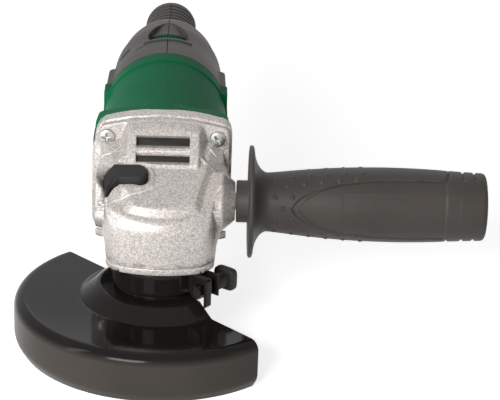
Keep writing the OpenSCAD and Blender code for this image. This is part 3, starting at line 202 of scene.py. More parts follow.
def even_outline(points, count, smoothing=0):
    """A closed outline with equal steps along its length, each point then drawn towards its
    neighbours' middle as often as smoothing says."""
    p = np.vstack([points, points[:1]]).astype(float)
    s = run_of(p)
    q = along(np.linspace(0, s[-1], count, endpoint=False), s, p)
    for _ in range(smoothing):
        q = (np.roll(q, 1, axis=0) + 2 * q + np.roll(q, -1, axis=0)) / 4
    return q


def grid(x, y, z):
    """Points from three coordinates that are spread over one grid."""
    return np.stack(np.broadcast_arrays(x, y, z), -1)


def swept(profile, angles):
    """A profile of (distance from the axis, place along it) swept about +Z, one row per corner."""
    r, h = np.asarray(profile, float).T[..., None]
    return grid(r * np.cos(angles), r * np.sin(angles), h)


def turned(profile, columns):
    """A profile swept through a whole turn."""
    return swept(profile, round_trip(columns))


def laid(points, origin, x_axis, y_axis):
    """Points drawn about the origin, laid so that their +X and +Y follow two given directions."""
    x = np.asarray(x_axis, float) / np.linalg.norm(x_axis)
    z = np.cross(x, y_axis)
    z /= np.linalg.norm(z)
    return np.asarray(points) @ np.stack([x, np.cross(z, x), z]) + np.asarray(origin, float)


# ---------- meshes ----------

def placed(name, data):
    """A new object in the scene."""
    thing = bpy.data.objects.new(name, data)
    bpy.context.scene.collection.objects.link(thing)
    return thing


MERGE_M, FLAT_M = 2e-6, 1e-7        # corners this near are one, and edges this short are dropped


def mesh_of(name, shape, body, slot, replaces=(), crease=45):
    """One object from corner points in millimetres and rings of corner numbers. Doubles are merged,
    faces are turned outwards by the sign of the enclosed volume, and edges sharper than crease
    degrees stay sharp."""
    verts, faces = shape
    mesh = bpy.data.meshes.new(name)
    mesh.from_pydata((verts * MM).tolist(), [], faces)
    bm = bmesh.new()
    bm.from_mesh(mesh)
    bmesh.ops.remove_doubles(bm, verts=bm.verts, dist=MERGE_M)
    bmesh.ops.dissolve_degenerate(bm, edges=bm.edges, dist=FLAT_M)
    bmesh.ops.recalc_face_normals(bm, faces=bm.faces)
    if bm.calc_volume(signed=True) < 0:
        bmesh.ops.reverse_faces(bm, faces=bm.faces)
    bm.to_mesh(mesh)
    bm.free()
    mesh.shade_smooth()
    mesh.set_sharp_from_angle(angle=math.radians(crease))
    piece = placed(name, mesh)
    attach(piece, body)
    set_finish(piece, slot)
    if replaces:
        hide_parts(*replaces)


def skin(points, caps=True):
    """Corners and faces of a grid of points, rows by columns by three, closed round each row, with
    a fan to the middle of the first and last row where caps is set."""
    rows, cols = points.shape[:2]
    verts = points.reshape(-1, 3)
    j = np.arange(cols)
    k = (j + 1) % cols
    i = np.arange(rows - 1)[:, None] * cols
    faces = np.stack([i + j, i + k, i + cols + k, i + cols + j], -1).reshape(-1, 4).tolist()
    if caps:
        for row in (0, rows - 1):
            faces += np.stack([row * cols + j, row * cols + k, np.full(cols, len(verts))], -1).tolist()
            verts = np.vstack([verts, points[row].mean(0)])
    return verts, faces


def together(*parts):
    """Several sets of corners and faces as one."""
    verts, faces, n = [], [], 0
    for v, f in parts:
        verts.append(v)
        faces += [[i + n for i in ring] for ring in f]
        n += len(v)
    return np.vstack(verts), faces


def shell(outer, inner):
    """A closed wall between two grids of points: both faces, and a strip along all four borders.
    Each row is one ring, out along the outer grid and back along the inner; the end rings close
    on the line midway between the two."""
    ring = np.concatenate([outer, inner[:, ::-1]], 1)
    middle = (outer + inner) / 2
    close = np.concatenate([middle, middle[:, ::-1]], 1)
    return skin(np.concatenate([close[:1], ring, close[-1:]]), caps=False)


def tube(outer, inner):
    """A closed tube between an outer and an inner grid whose rows are rings."""
    return skin(np.concatenate([outer, inner[::-1], outer[:1]]), caps=False)


def sheet(middle, thickness, edge, around=False):
    """Sheet metal about a middle surface: its faces lie half the thickness away along the surface
    normal, and come together in a half round where the edge distance runs out."""
    du, dv = np.gradient(middle, axis=0), np.gradient(middle, axis=1)
    if around:
        dv = (np.roll(middle, -1, axis=1) - np.roll(middle, 1, axis=1)) / 2
    n = np.cross(du, dv)
    n /= np.maximum(np.linalg.norm(n, axis=-1, keepdims=True), 1e-9)
    half = thickness / 2 * np.sqrt(1 - (1 - np.clip(edge / (thickness / 2), 0, 1)) ** 2)
    outer, inner = middle + n * half[..., None], middle - n * half[..., None]
    return tube(outer, inner) if around else shell(outer, inner)


def slab(outline, low, high, r, rows=5):
    """A flat piece with a closed outline, its two rims rounded: the outline moves in along its
    normal by r times 1 less the sine as the height runs through r times the cosine."""
    a = np.radians(np.linspace(0, 90, rows))
    inset = np.concatenate([r * (1 - np.sin(a)), r * (1 - np.cos(a))])
    height = np.concatenate([low + r * (1 - np.cos(a)), high - r * (1 - np.sin(a))])
    flat = outline - outward(outline) * inset[:, None, None]
    return grid(flat[..., 0], flat[..., 1], height[:, None])


# ---------- the shader's own small language ----------

class Value:
    """A shader socket that Python's operators build Math nodes on."""

    def __init__(self, graph, socket):
        self.graph, self.socket = graph, socket

    def _math(self, kind, *values, clamp=False):
        slots = {f"i{k}": value for k, value in enumerate(values)}
        node = self.graph.node("Math", {"operation": kind, "use_clamp": clamp}, **slots)
        return Value(self.graph, node.outputs[0])

    def __add__(self, other): return self._math("ADD", self, other)
    def __radd__(self, other): return self._math("ADD", other, self)
    def __sub__(self, other): return self._math("SUBTRACT", self, other)
    def __rsub__(self, other): return self._math("SUBTRACT", other, self)
    def __mul__(self, other): return self._math("MULTIPLY", self, other)
    def __rmul__(self, other): return self._math("MULTIPLY", other, self)
    def at_most(self, other): return self._math("MINIMUM", self, other)

    def between(self, low, high):
        """0 below low, 1 above high, straight in between."""
        return self._math("MULTIPLY_ADD", self, 1 / (high - low), -low / (high - low), clamp=True)


class Graph:
    """The nodes of a material or a world, made by one generic method."""

    def __init__(self, owner):
        owner.use_nodes = True
        self.tree = owner.node_tree
        self.tree.nodes.clear()

    def put(self, slot, value):
        """A link or a plain value for a socket."""
        value = value.socket if isinstance(value, Value) else value
        if isinstance(value, bpy.types.NodeSocket):
            self.tree.links.new(value, slot)
        else:
            slot.default_value = value

    def node(self, kind, settings=None, **values):
        """A node of a kind with its settings, and values or links for its sockets: by name, or by
        number after an i."""
        node = self.tree.nodes.new("ShaderNode" + kind)
        for key, value in (settings or {}).items():
            setattr(node, key, value)
        for key, value in values.items():
            numbered = key[0] == "i" and key[1:].isdigit()
            self.put(node.inputs[int(key[1:]) if numbered else key.replace("_", " ")], value)
        return node

    def seen(self):
        """1 for rays from the camera, from a glossy surface or through glass, and 0 for light."""
        rays = self.node("LightPath").outputs
        camera, glossy, through = [Value(self, rays[f"Is {kind} Ray"])
                                   for kind in ("Camera", "Glossy", "Transmission")]
        return (camera + glossy + through).at_most(1.0)


class Finish(Graph):
    """A material with one Principled shader on Object coordinates."""

    def __init__(self, name):
        self.material = bpy.data.materials.new(name)
        super().__init__(self.material)
        self.shader = self.node("BsdfPrincipled")
        self.node("OutputMaterial", Surface=self.shader.outputs[0])
        self.place = self.node("TexCoord").outputs["Object"]

    def set(self, **values):
        """Values and links for the shader's own sockets."""
        for key, value in values.items():
            self.put(self.shader.inputs[key.replace("_", " ")], value)

    def height(self):
        """Height of the shaded point over the wheel seat, in metres."""
        return Value(self, self.node("SeparateXYZ", i0=self.place).outputs[2])

    def noise(self, size, detail=2.0, rough=0.5, stretch=(1, 1, 1)):
        """Soft noise whose lumps are about size metres across."""
        place = self.node("Mapping", Vector=self.place, Scale=stretch).outputs[0]
        node = self.node("TexNoise", Vector=place, Scale=0.5 / size, Detail=detail, Roughness=rough)
        return Value(self, node.outputs["Fac"])

    def specks(self, size):
        """Random value per cell of about size metres."""
        cells = self.node("TexVoronoi", {"feature": "F1"}, Vector=self.place, Scale=1 / size)
        return Value(self, self.node("SeparateColor", i0=cells.outputs["Color"]).outputs[0])

    def mix(self, share, first, second):
        """Colour that goes from first to second as share goes from 0 to 1."""
        first, second = [(*c, 1.0) if isinstance(c, tuple) else c for c in (first, second)]
        return self.node("Mix", {"data_type": "RGBA"}, i0=share, i6=first, i7=second).outputs[2]

    def bump(self, height, strength, depth):
        """Normal that follows a height of so many metres."""
        return self.node("Bump", Height=height, Strength=strength, Distance=depth).outputs["Normal"]


def cast_finish(name, dark, light):
    """Sand-blasted die-cast aluminium: fine light and dark grains on a warm grey."""
    f = Finish(name)
    grain, fine, broad = f.specks(0.00048), f.noise(0.0004, 3.0, 0.7), f.noise(0.012, 3.0)
    tone = (grain * 0.7 + fine * 0.3).between(0.15, 0.85)
    f.set(Base_Color=f.mix(tone, dark, light), Roughness=0.27 + 0.18 * (fine + 0.3 * broad),
          Metallic=0.25, Normal=f.bump(grain * 0.6 + fine, 0.45, 0.0001))
    return f.material


def plastic_finish(name, light, dark, rough, grain=0.0004, depth=0.00003, strength=0.25, shine=0.2,
                   vary=0.12):
    """Moulded plastic: a fine spark-eroded grain and faint broad shading."""
    f = Finish(name)
    fine, broad = f.noise(grain, 2.0, 0.6), f.noise(0.02, 3.0)
    f.set(Base_Color=f.mix(broad.between(0.3, 0.7), dark, light), Specular_IOR_Level=shine,
          Roughness=rough + vary * (fine + broad * 0.5), Normal=f.bump(fine, strength, depth))
    return f.material


def metal_finish(name, tint, rough, stretch=(1, 1, 1), metal=1.0):
    """Machined metal: brushed or turned lines from stretched noise."""
    f = Finish(name)
    lines, broad = f.noise(0.0003, 2.0, 0.6, stretch), f.noise(0.008, 2.0)
    dark = tuple(0.75 * c for c in tint)
    f.set(Base_Color=f.mix((lines * 0.6 + broad * 0.4).between(0.3, 0.7), dark, tint), Metallic=metal,
          Roughness=rough + 0.15 * (lines + broad - 0.5), Normal=f.bump(lines, 0.2, 0.00002))
    return f.material


# ---------- gear head ----------

HEAD_X = 0.6                    # the head's middle, a little towards the side handle
HEAD_FRONT, FRONT_R = -23.0, 52.0       # the head's front, and its bow in plan
WAIST_Z = 50.0                  # the flanks lean in above this height and are drawn in below
PANEL_Y, PANEL_Z = -15.0, 59.5  # a point on the plane of the upper panel
PLATEAU = 0.4652                # rise of that plane towards the rear
STEP, COLLAR = 2.75, 0.85       # the lower step below it, and the button's collar above it
STEP_TOP = 67.5                 # height at which the lower step turns level
SLOPE = math.atan2(16.8, 16.0)  # slope of the vent face, and its foot
VENT_FOOT = np.array([8.0, 70.2])
VENT_LIP = 1.9                  # the vent's frame stands this far off the vent face
SLOT_X, SLOT_HALF = 0.65, 12.5  # middle and half the width of the vent's slots
SLOTS = [(79.65, 2.1), (73.0, 1.4)]     # height of each slot's middle, and half the slot
BOSS_FACE_X, BOSS_R, THREAD_R = 34.7, 14.2, 4.0
CORNER = 20.5                   # the corner screws' distance from the motor axis, up and down
FLANGE_Y, PAD_Y = 26.6, 23.7    # front faces of the rear flange and of its screws' pads
FOOT_Z = 32.0                   # the casting's lower face
EDGE_R, FINE_R = 0.8, 0.3       # radii of the casting's usual and of its finer edges


def above_panel(y, z):
    """Height over the plane of the upper panel, square to it."""
    return (z - PANEL_Z - PLATEAU * (y - PANEL_Y)) / math.hypot(1, PLATEAU)


def along_slope(y, z):
    """Distance up the vent face from its foot, and height above it."""
    c, s = math.cos(SLOPE), math.sin(SLOPE)
    dy, dz = y - VENT_FOOT[0], z - VENT_FOOT[1]
    return dy * c + dz * s, dz * c - dy * s


def head_half(x, y, z):
    """Half the head's width: a run through stations along it, narrower above the waist and drawn
    in to the cover's width below."""
    left, stations = x < HEAD_X, [-23, -17, -10, -1.5, 8.4, 24, 33]
    half = np.where(left, np.interp(y, stations, [23.0, 24.3, 26.4, 28.3, 30, 31.7, 31.7]),
                    np.interp(y, stations, [23.2, 24.0, 25.8, 28.2, 31, 31.7, 31.7]))
    lean = np.where(left, 0.05, np.interp(y, [8.4, 20], [0.21, 0.10]))
    drawn_in = np.clip((WAIST_Z - z) / 19, 0, 1.1) ** 1.5
    return half - lean * np.maximum(z - WAIST_Z, 0) - np.maximum(half - 25.2, 0) * drawn_in


def stepped_block(x, y, z):
    """The block's plan with its bowed front, and the block under two panels. The lower step is
    level behind, chamfered along its outer rear edges and slanted in front; the upper panel's
    walls fall to it at a slant in front, on the right and at the front left."""
    upper = above_panel(y, z)
    bow = np.hypot(x - 0.8, y - (HEAD_FRONT + FRONT_R)) - FRONT_R
    side = (np.abs(x - HEAD_X) - head_half(x, y, z)) * 0.97
    corner_r = 3.0 + 3.5 * np.clip((WAIST_Z - z) / 18, 0, 1)
    plan = meet(bow, side, corner_r)
    step = meet(upper + STEP, z - STEP_TOP, 1.0)
    chamfer = np.abs(x - HEAD_X) - 27.8 + z - 67.2 + 0.8 * np.minimum(y - 8, 0)
    step = meet(step, chamfer * 0.7, EDGE_R)
    nose = 0.889 * (bow + 1.9) + 0.457 * (z - 53.4)
    block = meet(meet(plan, step, EDGE_R), nose, EDGE_R)
    front = 0.753 * (bow + 6.9) + 0.658 * upper
    right = 0.70 * (x - 15.6 - 0.227 * (y - PANEL_Y)) + 0.714 * upper
    left = 0.66 * (-0.93 * (x + 12.2) - 0.36 * (y + 15.9)) + 0.75 * upper
    panel = meet(upper, meet(meet(front, right, 1.2), left, 1.0), 0.45)
    return plan, join(block, within(panel, plan + 1.0), 0.25)


def button_collar(x, y, z, plan):
    """Raised collar round the pocket of the lock button, lower at its left end."""
    upper = above_panel(y, z)
    drop = np.interp(x, [-17.5, -14.2], [STEP, 0])
    wall = 0.62 * outline_field(x, y, COLLAR_OUTLINE) + 0.78 * (upper + drop)
    return meet(meet(upper - COLLAR, wall, 0.35), plan + 0.2, EDGE_R)


def button_pocket(x, y, z):
    """Pocket of the lock button with a chamfered rim, broad round the nose."""
    upper = above_panel(y, z)
    wall = outline_field(x, y, BUTTON_OUTLINE) - 0.55
    rim = 0.45 + 1.2 * smooth((x + 14) / 6)
    return within(wall, 59.8 - z), within(0.707 * (wall - rim) - 0.707 * (upper - COLLAR), -2 - upper)


def vent_body(x, y, z, roof):
    """A raised frame with drafted sides, under a roof that falls towards the front."""
    up, over = along_slope(y, z)
    flank = 0.87 * (np.abs(x - 0.95) - 16.4 - 0.55 * np.minimum(VENT_LIP - over, 8))
    frame_body = meet(over - VENT_LIP, flank, EDGE_R)
    return within(meet(meet(frame_body, roof, 1.2), -up - 1.0 + 0.2 * over, EDGE_R), y - HEAD_REAR)


def vent_slots(x, y, z):
    """Two slots through the vent's frame with level floors, the lower one bevelled in front."""
    over = along_slope(y, z)[1]
    high, low = [within(np.abs(z - middle) - half, -over - 4) for middle, half in SLOTS]
    bevel = within(np.abs(z - 74.1) - 2.1, y - 11.2)
    return within(np.minimum(np.minimum(high, low), bevel), np.abs(x - SLOT_X) - SLOT_HALF)


def rear_flange(x, y, z, roof):
    """Square flange with round corners under the arch, and the pads of its screws before it."""
    flange_x = np.abs(x) - 22 + 0.15 * np.maximum(z - 68, 0) * (x < 0)
    outline = round_corner(flange_x, np.abs(z - AXIS_Z) - CORNER, 11)
    outline = meet(outline, roof + 0.2 * (y - HEAD_REAR), 1.5)
    return meet(outline, FLANGE_Y - y, 0.5), meet(outline + 1.3, PAD_Y - y, 0.6)


def boss_field(x, y, z):
    """Round bosses of the side handle's two threads: the right one is a cone with a round face, the
    left one has a flat front."""
    dy, dz = y - SIDE_Y, z - SIDE_Z
    ring = np.hypot(dy, dz)
    cone = 0.66 * (x - BOSS_FACE_X + 1.15 * np.maximum(ring - 8.9, 0))
    flat = -0.966 * dy + 0.259 * dz - 10.7
    left = meet(meet(ring - 13.4, flat, 0.6), -x - 29.9, EDGE_R)
    return ring, within(meet(ring - BOSS_R, cone, 0.7), 27.6 - x), within(left, x + 26.6)


def head_field(x, y, z):
    """The casting: the stepped block with the button's collar, the rear flange with its pads and
    gussets, the vent's frame and the side bosses, less the threads, the slots and the pocket."""
    plan, body = stepped_block(x, y, z)
    body = join(body, button_collar(x, y, z, plan), 0.25)
    roof = np.hypot(x - 0.5, z - (ARCH_TOP - ARCH_R)) - ARCH_R + 0.27 * (HEAD_REAR - y)
    flange, pad = rear_flange(x, y, z, roof)
    body = join(join(body, flange, 0.6), pad, 0.35)
    gusset = (z - STEP_TOP + np.abs(x - HEAD_X) - 24.7) * 0.7
    body = join(body, within(gusset, np.abs(z - 70) - 4, 10 - y, plan + 1), 0.5)
    body = join(body, vent_body(x, y, z, roof), 0.7)
    ring, right_boss, left_boss = boss_field(x, y, z)
    body = join(join(body, right_boss, 1.0), left_boss, EDGE_R)
    body = cut(body, within(ring - THREAD_R, 28 - np.abs(x)), 0.5)
    body = cut(body, vent_slots(x, y, z), FINE_R)
    pocket, rim = button_pocket(x, y, z)
    body = cut(cut(body, pocket, FINE_R), rim, 0.2)
    return within(meet(body, FOOT_Z - z, 0.5), y - HEAD_REAR)


def button_outline():
    """Plan of the lock button: a half round end and a wedge-shaped tail."""
    a, r = np.radians(np.linspace(90, -90, 13)), 4.4
    nose = np.stack([-10.6 + r * np.cos(a), 1.9 + r * np.sin(a)], -1)
    tail = [(-19.0, -3.0), (-22.2, -5.8), (-24.7, -9.0), (-25.5, -7.6), (-26.7, -1.0), (-26.5, 1.0),
            (-22.0, 6.1)]
    return np.vstack([nose, tail])


BUTTON_OUTLINE, BUTTON_MIDDLE = button_outline(), np.array([-19.6, 1.6])
COLLAR_OUTLINE = [
    (-4.6, 9.5), (-3.6, 6.0), (-2.0, 2.0), (-3.1, -4.4), (-7.5, -6.8), (-13.0, -8.7), (-14.8, -9.2),
    (-17.5, -9.7), (-21.6, -10.8), (-24.5, -13.2), (-45, -15), (-45, 9.5)]


def side_loops():
    """Two loops in the side view, (y, z) each, between whose points the skin's lines run: the outer
    one goes round outside the casting and the inner one inside it."""
    n = np.array([-math.sin(SLOPE), math.cos(SLOPE)])
    low, high = VENT_FOOT + [0.6, 0.8], VENT_FOOT + [15.2, 16.0]
    # outer point, inner point, number of steps to the next
    loop = [
        ((-19, 31), (-8, 42), 4), ((-24, 33), (-8, 42), 16), ((-24, 48), (-8, 46), 14),
        ((-21.5, 54), (-10, 47), 10), ((-19, 55.6), (-10, 47), 12), ((-16.8, 59.6), (-8, 49), 8),
        ((-14, 61), (-6, 50), 42), ((1, 68), (1, 54), 18), ((7, 70.9), (9, 58), 8),
        (low + n, low - 9 * n, 64), (high + n, high - 9 * n, 8),
        ((24, 89), (29, 80), 6), ((27, 90), (30, 80), 10), ((34, 90), (30, 80), 16),
        ((34, 58), (27, 58), 12), ((34, 26), (27, 45), 6), ((27, 26), (25, 45), 8),
        ((22, 31), (18, 45), 10),
    ]
    outer, inner, counts = zip(*loop)
    knots = np.arange(len(loop) + 1)
    places = spread(knots, counts)[:-1]
    return along(places, knots, outer + outer[:1]), along(places, knots, inner + inner[:1])


def head_skin():
    """Points where lines from an inner spine meet the casting's field. Round the head a line's ends
    follow two loops in the side view; across it they start side by side, then fan out to the bosses."""
    p, q = side_loops()
    hub = np.array([SIDE_Y, SIDE_Z])
    turn = np.unwrap(np.arctan2(p[:, 1] - hub[1], p[:, 0] - hub[0]))
    even = np.linspace(turn[0], turn[0] - TAU, len(p), endpoint=False)
    turn = np.minimum.accumulate(0.45 * turn + 0.55 * even)
    away = np.stack([np.cos(turn), np.sin(turn)], -1)
    # the widest circle about the boss, kept below the lower step
    fan_r, hole_r = 14.0, 4.4
    climb = np.maximum(away[:, 1] - PLATEAU * away[:, 0], 0.1)
    widest = np.minimum(np.minimum(fan_r, 7.9 / climb), 11 / np.maximum(away[:, 1], 0.1))
    # across the head: x of the lines over its middle, then places on each flank, which run from
    # the loop to the circle and on to the boss's middle
    edge_x, boss_x = 20.5, 37.5
    middle = spread([-edge_x, -16.6, -15.2, -12.4, -11.3, 12.6, 13.7, 16.8, 18.0, edge_x],
                    [12, 6, 8, 6, 50, 6, 8, 6, 8])
    flank = spread([0, 1, 2, 3, 3.12, 3.28, 3.65, 3.75, 4], [34, 26, 8, 6, 6, 10, 8, 4])[1:]
    share = smooth(np.clip((flank - 0.55) / 1.45, 0, 1))[:, None, None]
    radius = np.interp(flank, [0, 2, 3, 3.12, 3.28, 3.65, 3.75, 4],
                       [fan_r, fan_r, 13, 12.6, 11.9, hole_r, 3.8, 0.01])[:, None]
    radius = radius - (fan_r - widest) * np.clip((radius - hole_r) / (fan_r - hole_r), 0, 1)
    circle = hub + radius[..., None] * away
    start_x = edge_x - 9 * share[..., 0]
    end_x = np.where(flank < 1, edge_x + 17 * np.clip(flank, 0, 1), boss_x)[:, None]
    outer, inner = (1 - share) * p + share * circle, (1 - share) * q + share * circle
    flank_start = {side: grid(side * start_x, *inner.transpose(2, 0, 1)) for side in (-1, 1)}
    flank_end = {side: grid(side * end_x, *outer.transpose(2, 0, 1)) for side in (-1, 1)}
    start = np.concatenate([flank_start[-1][::-1], grid(middle[:, None], *q.T), flank_start[1]])
    end = np.concatenate([flank_end[-1][::-1], grid(middle[:, None], *p.T), flank_end[1]])
    return march(head_field, start, end, outer=1.25)


mesh_of("gear_head_casting", skin(head_skin()), "machine", "cast_aluminium", ["gear_housing"], 50)


# ---------- bearing cover, lock button and screws ----------

def cover():
    """Plate that follows the casting's foot, found by rays from the spindle, a quarter of a
    millimetre further in, with a groove above it, and the round neck of the guard below."""
    a, rear, plate_low, plate_high = round_trip(220), 24.3, 27.9, 31.2
    start = grid(HEAD_X, 0 * a, FOOT_Z + 1.5)
    foot = march(head_field, start, start + 40 * grid(np.cos(a), np.sin(a), 0))[:, :2]
    foot[:, 1] = np.minimum(foot[:, 1], rear)
    foot = even_outline(foot, 220, 2)
    plate = slab(foot * 0.992 + [0, 0.05], plate_low, plate_high, 0.6)
    web = slab(foot * 0.945, plate_high - 0.2, FOOT_Z + 0.4, 0.1, rows=2)
    neck = turned([(8, 14.6), (17.3, 14.6), (17.8, 14.8), (18.05, 15.2), (18.05, 27.2), (18.4, 27.6),
                   (18.4, 28.6), (8, 28.6)], 120)
    return together(skin(plate), skin(web), skin(neck))


mesh_of("bearing_cover", cover(), "machine", "cast_aluminium", ["gear_cover", "cover_gasket"])


def button():
    """The outline carried up a drafted wall and over an edge rounded in a few steps, then in to a
    point under two planes: the top, and the slope of the tail."""
    outline, foot_z = even_outline(BUTTON_OUTLINE, 200, 1), 60.6
    n = outward(outline)

    def height(p):
        x, y = p[..., 0] + 0.95, p[..., 1]
        return np.minimum(66.3 + 0.4 * (y + 8), 68.8 + 0.30 * (x + 18.3) + 0.50 * (y + 1.8))

    rows, edge = [], ((0.0, 0.0), (0.25, 0.86), (0.35, 0.93), (0.5, 0.975), (0.72, 0.995), (1.0, 1.0))
    for inset, level in edge:
        flat = outline - n * inset
        rows.append(np.column_stack([flat, foot_z + (height(flat) - foot_z) * level]))
    for share in (0.9, 0.75, 0.55, 0.3, 0.1):
        flat = BUTTON_MIDDLE + (outline - n - BUTTON_MIDDLE) * share
        rows.append(np.column_stack([flat, height(flat)]))
    return skin(np.stack(rows))


mesh_of("lock_button_cap", button(), "lock_button", "black_plastic", ["lock_button"], 14)


def cross_head(r, tall, reach=0.62, width=0.15, deep=0.55):
    """A screw head on a polar grid: its height falls as the square of the radius, rounds over at
    the rim, and drops in a cross whose arms get shallower outwards."""
    rho = np.concatenate([np.linspace(0.02, 0.7, 26), np.linspace(0.73, 0.9, 6),
                          np.cos(np.radians(np.linspace(22, 0, 6)))])[:, None]
    a = round_trip(112)
    u, v = rho * np.cos(a), rho * np.sin(a)
    dome = tall * (1 - 0.28 * rho ** 2 - 0.5 * smooth((rho - 0.86) / 0.14) ** 2)
    arm = np.minimum(np.abs(u), np.abs(v)) - width * (1 - 0.35 * rho)
    far = np.hypot(u, v) - reach
    hole = smooth(-arm / 0.06 + 0.5) * smooth(-far / 0.07 + 0.5) * (1.0 - 0.45 * rho / reach)
    top = np.stack([r * u, r * v, dome - deep * tall * hole], -1)
    return np.concatenate([top, top[-1:] * [1, 1, 0]])


def screw_set(places, x_axis, y_axis, r, tall, shank_r, length):
    """Screws at several places, each turned a different way about its own axis."""
    parts = []
    shank = turned([(0.05, 0.4), (shank_r, 0.4), (shank_r, -length + 0.8), (shank_r - 0.7, -length),
                    (0.05, -length)], 20)
    head = cross_head(r, tall)
    for k, place in enumerate(places):
        x, y = rotate(head[..., 0], head[..., 1], 0.4 + 1.1 * k)
        for part in (grid(x, y, head[..., 2]), shank):
            parts.append(skin(laid(part, place, x_axis, y_axis)))
    return together(*parts)


def four(dx, y, z, dy=0.0, dz=0.0):
    """Four places: left and right of the middle, each a little to both sides along y or z."""
    return [(i * dx, y + j * dy, z + j * dz) for i in (-1, 1) for j in (-1, 1)]


corner_screws = four(26.0, PAD_Y, AXIS_Z, dz=CORNER)
mesh_of("housing_screw_set", screw_set(corner_screws, (1, 0, 0), (0, 0, 1), 3.9, 2.4, 1.95, 25),
        "machine", "zinc_steel", ["housing_screws"], 35)
mesh_of("cover_screw_set", screw_set(four(18.9, 0, 29.6, dy=16.0), (1, 0, 0), (0, -1, 0), 3.3, 1.9, 1.7, 9),
        "machine", "zinc_steel", ["cover_screws"], 35)


def vent_painted_shade():
    """Two dark strips a little way inside the vent slots: painted shade, darkening the slots where their
    depth would be in shade.
    """
    parts, half = [], SLOT_HALF + 0.5
    up = np.array([math.cos(SLOPE), math.sin(SLOPE)])
    for place, tall in ((11.6, 3.3), (2.9, 2.5)):
        corners = even_outline([(-half, -tall), (half, -tall), (half, tall), (-half, tall)], 72)
        strip = slab(corners, -1.2, -0.25, 0.1, rows=2)
        parts.append(skin(laid(strip, (SLOT_X, *(VENT_FOOT + place * up)), (1, 0, 0), (0, *up))))
    return together(*parts)


# painted shade: dark strips set in the vent slots to darken them
mesh_of("vent_painted_shade", vent_painted_shade(), "machine", "black_plastic")


def painted_highlight_lines():
    """Fine raised lines along edges of the casting, their light finish a painted highlight of
    the light those edges catch: thin tubes laid along the casting's surface, found by lines from inside it."""
    lines = [
        ([(-19.3, 23.4, 73.4), (-20.6, 23.4, 71.2), (-24.2, 23.2, 68.2), (-27.2, 23.0, 67.6),
          (-29.6, 22.6, 64.6)], (0, -1, 0.6)),
        ([(21.6, 23.4, 73.2), (25.5, 23.2, 68.6), (28.0, 23.0, 67.6), (30.2, 22.6, 65.6)], (0, -1, 0.6)),
        ([COLLAR_OUTLINE[k] for k in (3, 4, 6, 7, 8)] + [(-23.6, -12.4)], (0, -PLATEAU, 1)),
    ]
    parts, a, wire_r, step = [], round_trip(8)[:, None], 0.34, 0.35
    for corners, way in lines:
        p = np.array(corners, float)
        s = run_of(p)
        q = along(np.arange(0, s[-1], step), s, p)
        if p.shape[1] == 2:             # a plan line lies on the upper panel's plane
            q = grid(*q.T, PANEL_Z + PLATEAU * (q[:, 1] - PANEL_Y))
        way = np.array(way, float) / np.linalg.norm(way)
        q = march(head_field, q - 4 * way, q + 4 * way)
        q[1:-1] = (q[:-2] + 2 * q[1:-1] + q[2:]) / 4
        forward = np.gradient(q, axis=0)
        forward /= np.linalg.norm(forward, axis=1, keepdims=True)
        side = np.cross(forward, way)
        side /= np.linalg.norm(side, axis=1, keepdims=True)
        over = np.cross(side, forward)
        r = wire_r * np.sin(np.linspace(0.15, math.pi - 0.15, len(q))) ** 0.3
        round_it = np.cos(a) * side[:, None] + np.sin(a) * over[:, None]
        parts.append(skin(q[:, None] + r[:, None, None] * round_it))
    return together(*parts)


# painted highlight: light raised lines along the casting's edges
mesh_of("casting_painted_highlight_lines", painted_highlight_lines(), "machine", "cast_aluminium", (), 60)


# ---------- motor barrel ----------

BARREL_R, BEAD_Y, BEAD_R = 31.0, 105.0, 31.6
LIP_Y = 42.4                                # rear edge of the square lip
RAIL_X, RAIL_Y, RAIL_HALF = 32.5, 68, 30    # low rails for the switch, half their length each way


def around_axis(r, y, a):
    """Points at a distance and an angle about the motor axis."""
    return grid(r * np.cos(a), y, AXIS_Z + r * np.sin(a))


def joint_outline(x, z):
    """Field of the joint between head and barrel: a square with round corners under a shallow
    arch, its flanks bowed a little."""
    bow_r, half_w = 250, 33
    square = round_corner(np.abs(x) - 23, np.abs(z - AXIS_Z) - 21.5, 10)
    arch = np.hypot(x, z - (ARCH_TOP - ARCH_R)) - ARCH_R
    flank = np.hypot(np.abs(x) + bow_r - half_w, z - AXIS_Z - 2) - bow_r
    return meet(meet(square, arch, 2.5), flank, 2.0)


def barrel_field(x, y, z):
    """Barrel with a bead near its rear edge, a square lip in front, low rails, shoulders behind,
    and a fine parting line along its top."""
    across, up = np.abs(x), z - AXIS_Z
    wall = np.interp(y, [HEAD_REAR, BEAD_Y - 1.4, BEAD_Y - 0.4, BEAD_Y + 0.4, BEAD_Y + 1.4],
                     [BARREL_R + 0.1, BARREL_R, BEAD_R, BEAD_R, BARREL_R])
    lip = meet(joint_outline(x, z) + 0.10 * (y - HEAD_REAR), y - LIP_Y, 1.1)
    rail = meet(meet(across - RAIL_X, np.abs(up + 6) - 8, 1.0), np.abs(y - RAIL_Y) - RAIL_HALF, 1.2)
    shoulder = meet(meet(across - 31.25, np.abs(up) - 14, 0.7), BEAD_Y - 1 - y, 0.6)
    body = join(join(join(np.hypot(x, up) - wall, lip, 1.5), rail, 0.6), shoulder, 0.5)
    parting = within(np.hypot(x, up - BARREL_R) - 0.2, np.abs(y - 73) - 30)
    body = join(body, parting, 0.15)
    front, rear = smooth((HEAD_REAR + 0.5 - y) / 0.5), smooth((y - BARREL_REAR + 0.4) / 0.4)
    return body + 0.45 * front + 0.35 * rear


def barrel():
    """Lines from the motor axis outwards, one for each angle and place along the axis, end where
    they meet the barrel's field; a plain bore closes the wall from inside."""
    y = spread([HEAD_REAR, 33.6, 40.8, 43.6, 102.6, 107.4, 116.4, BARREL_REAR], [4, 8, 14, 60, 22, 10, 4])
    a = np.radians(spread([-90, 88.6, 91.4, 270], [170, 16, 170])[:-1])
    start, reach, bore_r = grid(0 * a, y[:, None], AXIS_Z), 46, 28.5
    outer = march(barrel_field, start, start + reach * grid(np.cos(a), 0, np.sin(a)), steps=40)
    return tube(outer, around_axis(bore_r, y[[0, -1], None], a))


